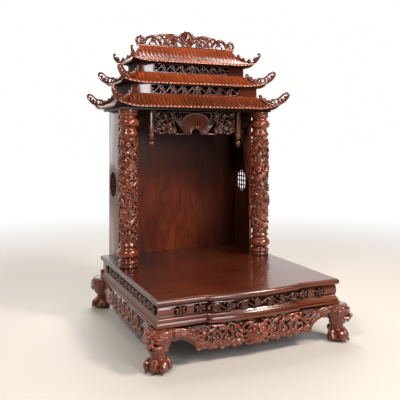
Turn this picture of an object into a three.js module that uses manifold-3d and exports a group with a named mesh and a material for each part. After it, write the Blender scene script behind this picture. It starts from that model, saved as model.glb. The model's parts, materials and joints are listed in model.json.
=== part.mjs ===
// Household altar cabinet with a three-tier pagoda roof, on four lion legs.
// Millimetres, +Z up, the open front faces -Y.
import * as THREE from 'three';
import { mergeVertices } from 'three/addons/utils/BufferGeometryUtils.js';
import Module from 'manifold-3d';

const wasm = await Module();
wasm.setup();

// Stand
const boardWidth = 680;
const boardDepth = 720;
const standHeight = 214;
const boardThickness = 22;
const waistHeight = 36;
const mouldingHeight = 30;
const breakHalf = 173;
const breakOut = 15;
const bowOut = 6;
const fit = 0.3;

// Cabinet
const roomHeight = 606;
const columnX = 291;
const columnY = 116;
const panelX = 303;
const panelFront = 211;
const panelBack = 359;
const panelThickness = 13;
const valanceY = 136;

// Roof, heights measured from the top of the board. The knee is where a slope turns flat: its place
// between neck and eave, and its height as a share of the rise.
const roofY = 232;
const tiers = [
  { name: 'lower', eaveX: 352, eaveY: 186, eaveZ: 615, lift: 22, neckX: 275, neckY: 116, neckZ: 670,
    knee: 0.45, kneeRise: 0.27, root: 2 },
  { name: 'middle', eaveX: 315, eaveY: 136, eaveZ: 711, lift: 16, neckX: 236, neckY: 70, neckZ: 760,
    knee: 0.45, kneeRise: 0.27, root: 8 },
  { name: 'upper', eaveX: 268, eaveY: 110, eaveZ: 800, lift: 12, neckX: 208, neckY: 13, neckZ: 876,
    knee: 0.3, kneeRise: 0.3, root: 4 },
];
const ribPitch = 16.5;
const ribDepth = 3.5;
const eaveEdge = 7;
const neckBoard = 14;
const seatGap = 2.8;

const standTop = standHeight;
const halfW = boardWidth / 2;
const halfD = boardDepth / 2;
const colours = { red: 0x7a2f1c, roof: 0xa14a25, dark: 0x4c1f16 };
const altar = new THREE.Group();
altar.name = 'altar_cabinet';

// ---- helpers ----

function addPiece(name, geometry, colour) {
  const plain = geometry.index ? geometry.toNonIndexed() : geometry;
  plain.deleteAttribute('uv');
  plain.computeVertexNormals();
  const material = new THREE.MeshStandardMaterial({ color: colour, roughness: 0.4 });
  const mesh = new THREE.Mesh(plain, material);
  mesh.name = name;
  altar.add(mesh);
  return mesh;
}

function toSolid(geometry) {
  const bare = geometry.clone();
  bare.deleteAttribute('normal');
  bare.deleteAttribute('uv');
  const merged = mergeVertices(bare, 1e-4);
  const mesh = new wasm.Mesh({
    numProp: 3,
    vertProperties: new Float32Array(merged.attributes.position.array),
    triVerts: new Uint32Array(merged.index.array),
  });
  return new wasm.Manifold(mesh);
}

function toGeometry(solid) {
  const mesh = solid.getMesh();
  const geometry = new THREE.BufferGeometry();
  const spots = new Float32Array(mesh.vertProperties);
  geometry.setAttribute('position', new THREE.BufferAttribute(spots, 3));
  geometry.setIndex(new THREE.BufferAttribute(new Uint32Array(mesh.triVerts), 1));
  return geometry;
}

function join(geometries) {
  let solid = toSolid(geometries[0]);
  for (const geometry of geometries.slice(1)) {
    solid = solid.add(toSolid(geometry));
  }
  return toGeometry(solid);
}

function cut(geometry, tools) {
  let solid = toSolid(geometry);
  for (const tool of tools) {
    solid = solid.subtract(toSolid(tool));
  }
  return toGeometry(solid);
}

function overlap(geometries) {
  let solid = toSolid(geometries[0]);
  for (const geometry of geometries.slice(1)) {
    solid = solid.intersect(toSolid(geometry));
  }
  return toGeometry(solid);
}

// A closed skin through rings of points; every ring has the same count.
function skin(rings) {
  const count = rings[0].length;
  const spots = rings.flat();
  const faces = [];
  for (let r = 0; r < rings.length - 1; r += 1) {
    for (let i = 0; i < count; i += 1) {
      const a = r * count + i;
      const b = r * count + ((i + 1) % count);
      faces.push([a, b, b + count], [a, b + count, a + count]);
    }
  }
  for (const first of [0, (rings.length - 1) * count]) {
    const ring = spots.slice(first, first + count);
    const normal = new THREE.Vector3();
    ring.forEach((p, i) => {
      const q = ring[(i + 1) % count];
      normal.x += (p[1] - q[1]) * (p[2] + q[2]);
      normal.y += (p[2] - q[2]) * (p[0] + q[0]);
      normal.z += (p[0] - q[0]) * (p[1] + q[1]);
    });
    normal.normalize();
    const turn = new THREE.Quaternion().setFromUnitVectors(normal, new THREE.Vector3(0, 0, 1));
    const flat = ring.map((p) => new THREE.Vector3(...p).applyQuaternion(turn));
    const outline = flat.map((p) => new THREE.Vector2(p.x, p.y));
    for (const [a, b, c] of THREE.ShapeUtils.triangulateShape(outline, [])) {
      faces.push(first === 0 ? [first + c, first + b, first + a] : [first + a, first + b, first + c]);
    }
  }
  const geometry = new THREE.BufferGeometry();
  geometry.setAttribute('position', new THREE.Float32BufferAttribute(spots.flat(), 3));
  geometry.setIndex(faces.flat());
  return rightWayOut(geometry);
}

function rightWayOut(geometry) {
  const p = geometry.attributes.position;
  const index = geometry.index;
  const a = new THREE.Vector3();
  const b = new THREE.Vector3();
  const c = new THREE.Vector3();
  let volume = 0;
  for (let i = 0; i < index.count; i += 3) {
    a.fromBufferAttribute(p, index.getX(i));
    b.fromBufferAttribute(p, index.getX(i + 1));
    c.fromBufferAttribute(p, index.getX(i + 2));
    volume += a.dot(b.cross(c));
  }
  if (volume < 0) {
    for (let i = 0; i < index.count; i += 3) {
      const kept = index.getX(i);
      index.setX(i, index.getX(i + 1));
      index.setX(i + 1, kept);
    }
  }
  return geometry;
}

function lathe(profile, segments) {
  const spots = profile.map(([r, z]) => new THREE.Vector2(r, z));
  return new THREE.LatheGeometry(spots, segments).rotateX(Math.PI / 2);
}

function blob(x, y, z, sx, sy, sz, detail = 1) {
  return new THREE.IcosahedronGeometry(1, detail).scale(sx, sy, sz).translate(x, y, z);
}

// Outlines and holes all run counter-clockwise.
function shapeOf(points) {
  const spots = points.map(([x, y]) => new THREE.Vector2(x, y));
  return new THREE.Shape(THREE.ShapeUtils.isClockWise(spots) ? spots.reverse() : spots);
}

function ovalHole(x, y, rx, ry, turn = 0, count = 8) {
  const spots = [];
  for (let i = 0; i < count; i += 1) {
    const a = (i / count) * Math.PI * 2;
    const px = rx * Math.cos(a);
    const py = ry * Math.sin(a);
    spots.push([
      x + px * Math.cos(turn) - py * Math.sin(turn),
      y + px * Math.sin(turn) + py * Math.cos(turn),
    ]);
  }
  return shapeOf(spots);
}

// An upright board drawn in X-Z, front face at frontY.
function uprightBoard(shape, frontY, thickness) {
  const board = new THREE.ExtrudeGeometry(shape, { depth: thickness, bevelEnabled: false });
  return board.rotateX(Math.PI / 2).translate(0, frontY + thickness, 0);
}

// An upright board drawn in Y-Z, left face at leftX.
function sideBoard(shape, leftX, thickness) {
  const board = new THREE.ExtrudeGeometry(shape, { depth: thickness, bevelEnabled: false });
  board.rotateX(Math.PI / 2).rotateZ(Math.PI / 2);
  return board.translate(leftX, 0, 0);
}

function box(x0, x1, y0, y1, z0, z1) {
  const body = new THREE.BoxGeometry(x1 - x0, y1 - y0, z1 - z0);
  return body.translate((x0 + x1) / 2, (y0 + y1) / 2, (z0 + z1) / 2);
}

// The mirror image about the middle plane, with every triangle turned to face out again.
function mirrored(geometry) {
  const flat = geometry.index ? geometry.toNonIndexed() : geometry.clone();
  flat.scale(-1, 1, 1);
  const p = flat.attributes.position;
  const first = new THREE.Vector3();
  const second = new THREE.Vector3();
  for (let i = 0; i < p.count; i += 3) {
    first.fromBufferAttribute(p, i);
    second.fromBufferAttribute(p, i + 1);
    p.setXYZ(i, ...second);
    p.setXYZ(i + 1, ...first);
  }
  flat.deleteAttribute('normal');
  return flat;
}

// ---- stand: top board, frieze, step moulding ----

// Front edge of the stand in plan, left to right, set back by inset.
function frontLine(inset) {
  const half = halfW - inset;
  const front = -halfD + inset;
  const middle = breakHalf - inset;
  const line = [[-half, front], [-middle, front]];
  for (let i = 0; i <= 4; i += 1) {
    const t = i / 2 - 1;
    line.push([middle * t, front - breakOut - bowOut * (1 - t * t)]);
  }
  line.push([middle, front], [half, front]);
  return line;
}

function topBoard() {
  const edge = [[0, 9], [4, 3], [9, 0.5], [14, 0], [19, 2], [boardThickness, 6]];
  const rings = edge.map(([z, inset]) => {
    const plan = [...frontLine(inset), [halfW - inset, halfD], [-halfW + inset, halfD]];
    return plan.map(([x, y]) => [x, y, standTop - boardThickness + z]);
  });
  return skin(rings);
}

// Rail with a moulded face along the front; profile is [z, inset] upwards.
function frontRail(profile, inner) {
  const count = frontLine(0).length;
  const rings = [];
  for (let i = 0; i < count; i += 1) {
    const ring = profile.map(([z, inset]) => [...frontLine(inset)[i], z]);
    const [x, y] = frontLine(inner)[i];
    ring.push([x, y, profile[profile.length - 1][0]], [x, y, profile[0][0]]);
    rings.push(ring);
  }
  return skin(rings);
}

function sideRail(profile, inner) {
  const top = profile[profile.length - 1][0];
  const bottom = profile[0][0];
  const rings = [-1, 1].map((end) => {
    const at = (inset) => (end < 0 ? -halfD + inset + fit : halfD - neckBoard - fit);
    const ring = profile.map(([z, inset]) => [-halfW + inset, at(inset), z]);
    ring.push([-halfW + inner, at(inner), top], [-halfW + inner, at(inner), bottom]);
    return ring;
  });
  return skin(rings);
}

const waistTop = standTop - boardThickness - fit;
const waistBottom = waistTop - waistHeight + fit;
const mouldTop = waistBottom - fit;
const mouldBottom = mouldTop - mouldingHeight + fit;
const apronTop = mouldBottom - fit;

const waistFace = [[waistBottom, 12], [waistBottom + 9, 8], [waistTop - 9, 8], [waistTop, 12]];
const mouldFace = [[mouldBottom, 3], [mouldBottom + 4, -1], [mouldBottom + 10, -1], [mouldBottom + 14, 5],
  [mouldBottom + 23, 6], [mouldTop, 11]];

const waistMiddle = (waistBottom + waistTop) / 2;
function drillY(x, y, z, radius, long = 1) {
  const drill = new THREE.CylinderGeometry(radius, radius, 80, 4);
  return drill.scale(long, 1, 1).translate(x, y, z);
}
function drillX(y, z, radius, long) {
  const drill = new THREE.CylinderGeometry(radius, radius, 80, 4).rotateZ(Math.PI / 2);
  return drill.scale(1, long, 1).translate(-halfW, y, z);
}

addPiece('base_board', topBoard(), colours.red);
const frontHoles = [];
for (const x of [-258, -196, 196, 258]) {
  frontHoles.push(drillY(x, -halfD, waistMiddle, 8));
}
for (const x of [-96, -48, 0, 48, 96]) {
  frontHoles.push(drillY(x, -halfD - 10, waistMiddle, 8, 2));
}
addPiece('waist_front', cut(frontRail(waistFace, 28), frontHoles), colours.red);
const sideHoles = [];
for (const y of [-290, 290]) {
  sideHoles.push(drillX(y, waistMiddle, 8, 1));
}
for (const y of [-160, -80, 0, 80, 160]) {
  sideHoles.push(drillX(y, waistMiddle, 9, 3));
}
const waistSide = cut(sideRail(waistFace, 28), sideHoles);
addPiece('waist_left', waistSide, colours.red);
addPiece('waist_right', mirrored(waistSide), colours.red);
const backY = halfD - neckBoard;
addPiece('waist_back', box(-halfW + 12, halfW - 12, backY, halfD, waistBottom, waistTop), colours.red);
addPiece('moulding_front', frontRail(mouldFace, 30), colours.red);
const mouldSide = sideRail(mouldFace, 30);
addPiece('moulding_left', mouldSide, colours.red);
addPiece('moulding_right', mirrored(mouldSide), colours.red);
addPiece('moulding_back', box(-halfW, halfW, backY, halfD, mouldBottom, mouldTop), colours.red);

// ---- aprons and legs ----

const frontApron = [[-290, apronTop], [-290, 84], [-262, 88], [-238, 78], [-212, 58], [-186, 62], [-158, 50],
  [-128, 46], [-104, 56], [-84, 48], [-58, 54], [-40, 46], [0, 40]];
function symmetric(half) {
  const other = half.filter(([x]) => x < 0).map(([x, z]) => [-x, z]).reverse();
  return [...half, ...other];
}
const apronFrontShape = shapeOf(symmetric(frontApron));
for (const side of [-1, 1]) {
  const holes = [[214, 88, 20, 9, 0.5], [166, 84, 12, 12, 0.4], [128, 94, 18, 8, 0], [88, 80, 12, 14, -0.4]];
  for (const [x, z, rx, rz, turn] of holes) {
    apronFrontShape.holes.push(ovalHole(side * x, z, rx, rz, side * turn, 6));
  }
}
const maskY = -halfD - 22;
const mask = [
  uprightBoard(apronFrontShape, -halfD - 4, 22),
  blob(0, maskY + 12, 78, 46, 22, 34),
  blob(0, maskY + 2, 62, 22, 18, 15, 0),
  blob(-21, maskY + 4, 90, 12, 12, 10, 0),
  blob(21, maskY + 4, 90, 12, 12, 10, 0),
];
const apronFront = overlap([join(mask), box(-400, 400, -500, 0, 0, apronTop)]);
addPiece('apron_front', apronFront, colours.red);

const sideApron = [[-305, apronTop], [-305, 84], [-276, 80], [-246, 52], [-196, 50], [-170, 66], [-130, 56],
  [-100, 66], [-50, 58], [0, 68]];
const apronSideShape = shapeOf(symmetric(sideApron));
for (const y of [-220, -140, -84, -28, 28, 84, 140, 220]) {
  apronSideShape.holes.push(ovalHole(y, 88, 17, 10, 0.5, 5));
}
const apronSide = sideBoard(apronSideShape, -halfW + 3, 20);
addPiece('apron_left', apronSide, colours.red);
addPiece('apron_right', mirrored(apronSide), colours.red);
const backShape = shapeOf([[-290, apronTop], [-290, 60], [-262, 84], [262, 84], [290, 60], [290, apronTop]]);
addPiece('apron_back', uprightBoard(backShape, backY, neckBoard), colours.red);

// Leg rings: [z, centre, half length, half width] along the diagonal.
const legRings = [[0, 24, 36, 34], [12, 26, 41, 40], [32, 24, 36, 36], [54, 22, 23, 24], [68, 24, 28, 30],
  [88, 25, 41, 43], [112, 20, 42, 44], [apronTop, 12, 40, 42]];
function leg(flank) {
  const rings = legRings.map(([z, centre, long, wide]) => {
    const ring = [];
    for (let i = 0; i < 8; i += 1) {
      const a = ((i + 0.5) / 8) * Math.PI * 2;
      ring.push([centre + long * Math.cos(a), wide * Math.sin(a), z]);
    }
    return ring;
  });
  const toes = [-26, 0, 26].map((t) => blob(51 - Math.abs(t) * 0.2, t, 17, 19, 13, 18, 0));
  const spurs = [blob(12, flank * 36, 26, 12, 10, 10, 0)];
  const face = [blob(58, 0, 84, 13, 20, 12, 0), blob(54, 0, 106, 15, 34, 9, 0)];
  const body = join([skin(rings), ...toes, ...spurs, ...face]);
  return overlap([body, box(-200, 200, -200, 200, 0, apronTop)]);
}
const legCorner = 22;
for (const [name, sx, sy] of [['front_left', -1, -1], ['front_right', 1, -1], ['back_left', -1, 1],
  ['back_right', 1, 1]]) {
  const placed = leg(-sx * sy).rotateZ(Math.atan2(sy, sx));
  placed.translate(sx * (halfW - legCorner), sy * (halfD - legCorner), 0);
  const clear = [];
  if (sy < 0) {
    clear.push(box(-290.5, 290.5, -halfD - 5, -halfD + 19, -9, 200));
  } else {
    clear.push(box(-290.5, 290.5, backY - 0.5, halfD + 0.5, -9, 200));
  }
  const innerX = sx < 0 ? [-halfW + 2.5, -halfW + 23.5] : [halfW - 23.5, halfW - 2.5];
  clear.push(box(...innerX, -305.5, 305.5, -9, 200));
  addPiece(`leg_${name}`, cut(placed, clear), colours.red);
}

// ---- cabinet: side panels, back, ceiling, columns, valance ----

const roomTop = standTop + roomHeight - fit;
const roomBottom = standTop + fit;
const panelShape = shapeOf([[panelFront, roomBottom], [panelBack, roomBottom], [panelBack, roomTop],
  [panelFront, roomTop]]);
const medallionY = 289;
const medallionZ = standTop + 309;
for (const [shift, half] of [[-36, 34], [-18, 50], [0, 54], [18, 50], [36, 34]]) {
  const y = medallionY + shift;
  const bar = [[y - 5, medallionZ - half + 6], [y, medallionZ - half], [y + 5, medallionZ - half + 6],
    [y + 5, medallionZ + half - 6], [y, medallionZ + half], [y - 5, medallionZ + half - 6]];
  panelShape.holes.push(shapeOf(bar));
}
const panel = sideBoard(panelShape, -panelX, panelThickness);
addPiece('cabinet_side_left', panel, colours.red);
addPiece('cabinet_side_right', mirrored(panel), colours.red);
const backHalf = panelX - panelThickness - fit;
const cabinetBack = box(-backHalf, backHalf, panelBack - 14, panelBack, roomBottom, roomTop);
addPiece('cabinet_back', cabinetBack, colours.dark);
const ceilingTop = standTop + tiers[0].eaveZ - fit;
addPiece('cabinet_ceiling', box(-326, 326, 84, 362, roomTop + fit, ceilingTop), colours.dark);

const columnHeight = roomHeight - 2 * fit;
const columnProfile = [[0, 0], [34, 0], [39, 24], [32, 31], [42, 42], [42, 62], [31, 73], [37, 84],
  [33, 94], [33, 498], [38, 512], [30, 530], [42, 545], [42, 563], [31, 574], [38, 584],
  [36, columnHeight], [0, columnHeight]];
class Coil extends THREE.Curve {
  getPoint(t, target = new THREE.Vector3()) {
    const angle = 2 * Math.PI * 2.6 * t;
    return target.set(32 * Math.cos(angle), 32 * Math.sin(angle), 112 + 372 * t);
  }
}
function column() {
  const band = shapeOf([[-9, 0], [0, 11], [9, 0], [0, -11]]);
  const settings = { steps: 16, bevelEnabled: false, extrudePath: new Coil() };
  return join([lathe(columnProfile, 8), new THREE.ExtrudeGeometry(band, settings)]);
}
for (const side of [-1, 1]) {
  const placed = column().rotateZ(side < 0 ? 0.3 : 1.2).translate(side * columnX, columnY, roomBottom);
  addPiece(side < 0 ? 'column_left' : 'column_right', placed, colours.red);
}

const valanceLine = [[-180, roomTop], [-180, roomTop - 84], [-150, roomTop - 92], [-110, roomTop - 84],
  [-72, roomTop - 96], [-18, roomTop - 98]];
const valanceShape = shapeOf(symmetric(valanceLine));
for (const side of [-1, 1]) {
  for (const [x, down, rx, rz, turn] of [[156, 58, 12, 16, 0.2], [152, 22, 16, 10, 0], [118, 48, 14, 14, 0.8],
    [108, 18, 13, 8, 0]]) {
    valanceShape.holes.push(ovalHole(side * x, roomTop - down, rx, rz, side * turn, 6));
  }
}
valanceShape.holes.push(ovalHole(0, roomTop - 72, 15, 15, 0, 8));
const fan = new THREE.CylinderGeometry(48, 52, 12, 12).translate(0, valanceY - 2, roomTop - 54);
const fanHole = new THREE.CylinderGeometry(15, 15, 60, 8).translate(0, valanceY, roomTop - 72);
const barsAside = [];
for (const x of [58, 72]) {
  for (const side of [-1, 1]) {
    const bar = new THREE.BoxGeometry(7, 14, 78).rotateY(side * 0.42);
    barsAside.push(bar.translate(side * x, valanceY, roomTop - 60));
  }
}
const valanceBoard = join([uprightBoard(valanceShape, valanceY, 10), fan, ...barsAside]);
const valance = overlap([cut(valanceBoard, [fanHole]), box(-180, 180, 0, 300, 0, roomTop)]);
addPiece('valance', valance, colours.red);

const pendantX = 192;
function pendant() {
  const drop = [[0, -151], [5, -146], [12, -134], [10, -124], [5, -118], [8, -113], [8, -108], [0, -108]];
  const bud = lathe(drop, 7);
  const post = box(-8, 8, -11, 11, -110, 0);
  return join([post, bud]).translate(0, valanceY - 4, roomTop);
}
for (const side of [-1, 1]) {
  const placed = pendant().translate(side * pendantX, 0, 0);
  addPiece(side < 0 ? 'pendant_left' : 'pendant_right', placed, colours.red);
}

const tailInner = panelX - panelThickness - fit;
const tailLine = [[0, 0], [0, -300], [7, -296], [16, -240], [22, -170], [36, -110], [34, -60], [50, -18],
  [50, 0]];
const tailShape = shapeOf(tailLine.map(([across, up]) => [across - tailInner, roomTop + up]));
tailShape.holes.push(ovalHole(-tailInner + 18, roomTop - 60, 7, 20, 0.1, 6));
tailShape.holes.push(ovalHole(-tailInner + 14, roomTop - 140, 5, 20, 0.1, 6));
const tail = uprightBoard(tailShape, panelFront, 14);
addPiece('valance_tail_left', tail, colours.red);
addPiece('valance_tail_right', mirrored(tail), colours.red);

// ---- roof: three tiled tiers, two pierced necks, ridge crown, corner horns ----

function ease(t) {
  const s = Math.min(Math.max(t, 0), 1);
  return s * s;
}

function cornerLift(tier, x, y) {
  const along = ease((Math.abs(x) - tier.eaveX * 0.72) / (tier.eaveX * 0.28));
  const across = ease((Math.abs(y) - tier.eaveY * 0.55) / (tier.eaveY * 0.45));
  return tier.lift * along * across;
}

// Solid under one roof slope; stations run along the eave as [position, drop below the rib tops].
function slopeSolid(tier, stations, run, neckRun, toPoint) {
  const base = standTop + tier.eaveZ + eaveEdge;
  const slopeZ = tier.neckZ - tier.eaveZ - eaveEdge;
  const middle = neckRun + (run - neckRun) * tier.knee;
  const rings = stations.map(([s, drop]) => {
    const ring = [[-run, 0], [-middle, tier.kneeRise], [-neckRun, 1]].map(([r, rise]) => {
      const [x, y] = toPoint(s, r);
      return [x, y, base + rise * slopeZ - (rise < 1 ? drop : 0) + cornerLift(tier, x, y)];
    });
    ring.push([...toPoint(s, run), base + slopeZ], [...toPoint(s, run), base - 60]);
    ring.push([...toPoint(s, -run), base - 60]);
    return ring;
  });
  return skin(rings);
}

function ribStations(span) {
  const ribs = Math.round((2 * span) / ribPitch);
  const stations = [];
  for (let i = 0; i <= 2 * ribs; i += 1) {
    stations.push([-span + (i * span) / ribs, i % 2 ? 0 : ribDepth]);
  }
  return stations;
}

function eaveBlock(tier) {
  const rings = [];
  for (const t of [-1, -0.86, -0.72, 0.72, 0.86, 1]) {
    const x = t * tier.eaveX;
    const ring = [-1, -0.78, -0.55, 0.55, 0.78, 1].map((s) => {
      const y = s * tier.eaveY;
      return [x, y, standTop + tier.eaveZ + cornerLift(tier, x, y)];
    });
    ring.push([x, tier.eaveY, standTop + 1000], [x, -tier.eaveY, standTop + 1000]);
    rings.push(ring);
  }
  return skin(rings);
}

// Tile ribs run down the front slope.
function roofTier(tier) {
  const spanX = tier.eaveX + 1;
  const spanY = tier.eaveY + 1;
  const sweep = [0.72, 0.86, 1];
  const plain = (span) => [...sweep.map((t) => -t).reverse(), ...sweep].map((t) => [t * span, 0]);
  const slopes = [
    slopeSolid(tier, ribStations(spanX), spanY, tier.neckY, (s, r) => [s, r]),
    slopeSolid(tier, plain(spanX), spanY, tier.neckY, (s, r) => [s, -r]),
    slopeSolid(tier, plain(spanY), spanX, tier.neckX, (s, r) => [r, s]),
    slopeSolid(tier, plain(spanY), spanX, tier.neckX, (s, r) => [-r, s]),
  ];
  return overlap([eaveBlock(tier), ...slopes]).translate(0, roofY, 0);
}

// Horn outlines in the diagonal plane: x outward from the eave corner, y up from the hip below.
const curlHorn = [[-92, 14], [-86, 25], [-78, 14], [-68, 24], [-58, 12], [-48, 11], [-40, 26], [-28, 26],
  [-8, 21], [2, 29], [12, 40], [22, 44], [34, 40], [38, 31], [32, 18], [16, 3], [0, -6]];
const curlHollow = [[-26, 15], [-8, 13], [5, 24], [14, 35], [24, 36], [29, 29], [22, 17], [7, 8], [-12, 7]];
const spikeHorn = [[-84, 12], [-79, 18], [-68, 9], [-56, 18], [-44, 8], [-29, 9], [-20, 21], [-9, 11],
  [5, 24], [8, 14], [17, 27], [17, 37], [25, 37], [30, 29], [26, 18], [13, 5], [0, -5]];
const hornHalf = 5;

// Height of the hip over its own eave corner, at a distance in from that corner.
function hipHeight(tier, inward) {
  const t = Math.max(inward, 0) / Math.hypot(tier.eaveX - tier.neckX, tier.eaveY - tier.neckY);
  const x = tier.eaveX - t * (tier.eaveX - tier.neckX);
  const y = tier.eaveY - t * (tier.eaveY - tier.neckY);
  const kneeAt = 1 - tier.knee;
  const steep = tier.kneeRise + ((1 - tier.kneeRise) * (t - kneeAt)) / tier.knee;
  const rise = t < kneeAt ? (tier.kneeRise * t) / kneeAt : steep;
  return rise * (tier.neckZ - tier.eaveZ - eaveEdge) + cornerLift(tier, x, y) - tier.lift;
}

function horn(tier, outline) {
  const root = outline[0][0];
  const seat = [-0.02, 0.2, 0.4, 0.6, 0.8, 1].map((t) => [root * t, seatGap]);
  const placed = (points) => points.map(([x, up]) => [x, up + hipHeight(tier, -x)]);
  const shape = shapeOf(placed([...outline, ...seat]));
  if (outline === curlHorn) {
    shape.holes.push(shapeOf(placed(curlHollow)));
  }
  const plate = new THREE.ExtrudeGeometry(shape, { depth: 2 * hornHalf, bevelEnabled: false });
  return plate.translate(0, 0, -hornHalf).rotateX(Math.PI / 2);
}

for (const [index, tier] of tiers.entries()) {
  addPiece(`roof_${tier.name}`, roofTier(tier), colours.roof);
  const outline = index === 2 ? spikeHorn : curlHorn;
  for (const [place, sx, sy] of [['front_left', -1, -1], ['front_right', 1, -1], ['back_left', -1, 1],
    ['back_right', 1, 1]]) {
    const cornerZ = standTop + tier.eaveZ + eaveEdge + tier.lift;
    const hip = Math.atan2(sy * (tier.eaveY - tier.neckY), sx * (tier.eaveX - tier.neckX));
    const placed = horn(tier, outline).rotateZ(hip);
    placed.translate(sx * tier.eaveX, roofY + sy * tier.eaveY, cornerZ);
    addPiece(`horn_${tier.name}_${place}`, placed, colours.red);
  }
}

function fretHoles(shape, half, z, high, count) {
  const step = (2 * half) / count;
  for (let i = 0; i < count; i += 1) {
    const x = -half + step * (i + 0.5);
    const lean = i % 2 ? 0.5 : -0.5;
    shape.holes.push(ovalHole(x, z, step * 0.4, high * 0.26, lean, 6));
  }
}

function neck(name, lowTier, highTier) {
  const bottom = standTop + lowTier.neckZ + fit;
  const top = standTop + highTier.eaveZ - fit;
  const { neckX, neckY } = lowTier;
  const front = shapeOf([[-neckX, bottom], [neckX, bottom], [neckX, top], [-neckX, top]]);
  fretHoles(front, neckX * 0.66, (bottom + top) / 2, top - bottom, 7);
  addPiece(`neck_${name}_front`, uprightBoard(front, roofY - neckY, neckBoard), colours.red);
  const backBoard = box(-neckX, neckX, roofY + neckY - neckBoard, roofY + neckY, bottom, top);
  addPiece(`neck_${name}_back`, backBoard, colours.red);
  const inside = neckY - neckBoard - fit;
  for (const side of [-1, 1]) {
    const x0 = side < 0 ? -neckX : neckX - neckBoard;
    const board = box(x0, x0 + neckBoard, roofY - inside, roofY + inside, bottom, top);
    addPiece(`neck_${name}_${side < 0 ? 'left' : 'right'}`, board, colours.red);
  }
}
neck('lower', tiers[0], tiers[1]);
neck('upper', tiers[1], tiers[2]);

// Crown: rail, cloud scrolls to both sides, a disc in a ring of flames.
const crownZ = standTop + tiers[2].neckZ + fit;
const crownHalf = [[-220, 0], [-224, 14], [-214, 34], [-202, 38], [-192, 30], [-180, 28], [-168, 40],
  [-150, 44], [-134, 40], [-118, 56], [-104, 62], [-88, 50], [-70, 56], [-58, 48], [-44, 54], [-30, 68],
  [0, 76]];
const crownShape = shapeOf(symmetric(crownHalf).map(([x, z]) => [x, z + crownZ]));
for (const side of [-1, 1]) {
  for (const [x, z, rx, rz, turn] of [[202, 21, 11, 8, 0], [164, 22, 15, 10, 0.2], [122, 26, 14, 14, 0],
    [84, 28, 14, 11, 0.2], [54, 26, 9, 12, 0]]) {
    crownShape.holes.push(ovalHole(side * x, z + crownZ, rx, rz, side * turn, 6));
  }
  crownShape.holes.push(ovalHole(side * 27, 36 + crownZ, 7, 16, side * 0.3, 6));
}
const disc = new THREE.CylinderGeometry(17, 17, 22, 12).translate(0, roofY, crownZ + 38);
addPiece('roof_crown', join([uprightBoard(crownShape, roofY - 8, 16), disc]), colours.red);

// ---- centre the footprint on the origin ----

altar.updateMatrixWorld(true);
const extent = new THREE.Box3().setFromObject(altar);
const middle = extent.getCenter(new THREE.Vector3());
for (const mesh of altar.children) {
  mesh.geometry.translate(-middle.x, -middle.y, -extent.min.z);
}

export default altar;
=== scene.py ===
# Household altar cabinet: lacquered boards, carved columns, lion legs, tiled pagoda roof
import json
import math
import random

import bpy
from mathutils import Matrix, Vector


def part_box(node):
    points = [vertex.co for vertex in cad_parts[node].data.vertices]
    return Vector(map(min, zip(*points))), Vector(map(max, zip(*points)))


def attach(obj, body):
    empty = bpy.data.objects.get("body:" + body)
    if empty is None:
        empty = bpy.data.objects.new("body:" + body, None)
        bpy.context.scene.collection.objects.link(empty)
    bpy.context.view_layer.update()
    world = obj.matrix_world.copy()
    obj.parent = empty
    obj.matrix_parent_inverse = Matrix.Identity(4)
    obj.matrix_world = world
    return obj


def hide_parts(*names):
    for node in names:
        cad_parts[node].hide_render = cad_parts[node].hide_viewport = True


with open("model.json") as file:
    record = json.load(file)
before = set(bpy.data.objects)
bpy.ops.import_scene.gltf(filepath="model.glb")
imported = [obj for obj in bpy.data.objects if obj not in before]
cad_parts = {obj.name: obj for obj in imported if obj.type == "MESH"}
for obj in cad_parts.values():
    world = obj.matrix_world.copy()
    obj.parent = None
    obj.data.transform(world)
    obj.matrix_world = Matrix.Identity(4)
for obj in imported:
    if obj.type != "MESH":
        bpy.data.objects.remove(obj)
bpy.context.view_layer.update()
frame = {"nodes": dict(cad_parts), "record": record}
mm = 0.001


def deselect():
    if bpy.context.mode != "OBJECT":
        bpy.ops.object.mode_set(mode="OBJECT")
    bpy.ops.object.select_all(action="DESELECT")


def only(piece):
    deselect()
    piece.select_set(True)
    bpy.context.view_layer.objects.active = piece


def applyModifier(piece, name, kind, **settings):
    only(piece)
    modifier = piece.modifiers.new(name, kind)
    for key, value in settings.items():
        setattr(modifier, key, value)
    bpy.ops.object.modifier_apply(modifier=modifier.name)


def joinAll(pieces):
    deselect()
    for piece in pieces:
        piece.select_set(True)
    bpy.context.view_layer.objects.active = pieces[0]
    if len(pieces) > 1:
        bpy.ops.object.join()
    return bpy.context.view_layer.objects.active


def copyOf(piece):
    only(piece)
    bpy.ops.object.duplicate(linked=False)
    return bpy.context.object


def looseCopy(node):
    # a CAD node's own mesh, merged so that it is one skin
    piece = copyOf(frame["nodes"][node])
    piece.parent = None
    piece.matrix_world = Matrix.Identity(4)
    piece.data.materials.clear()
    for key in list(piece.keys()):
        del piece[key]
    only(piece)
    bpy.ops.object.mode_set(mode="EDIT")
    bpy.ops.mesh.select_all(action="SELECT")
    bpy.ops.mesh.remove_doubles(threshold=0.00002)
    bpy.ops.object.mode_set(mode="OBJECT")
    return piece


def fuse(piece, voxel, soften, rounds=2, keep=1.0):
    applyModifier(piece, "fuse", "REMESH", mode="VOXEL", voxel_size=voxel * mm)
    if soften:
        applyModifier(piece, "soften", "SMOOTH", factor=soften, iterations=rounds)
    if keep < 1:
        applyModifier(piece, "thin", "DECIMATE", ratio=keep)
    only(piece)
    bpy.ops.object.shade_smooth()
    return piece


def tidyMesh(piece, merge=0.01):
    only(piece)
    bpy.ops.object.mode_set(mode="EDIT")
    bpy.ops.mesh.select_all(action="SELECT")
    bpy.ops.mesh.remove_doubles(threshold=merge * mm)
    bpy.ops.mesh.normals_make_consistent(inside=False)
    bpy.ops.object.mode_set(mode="OBJECT")


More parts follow.
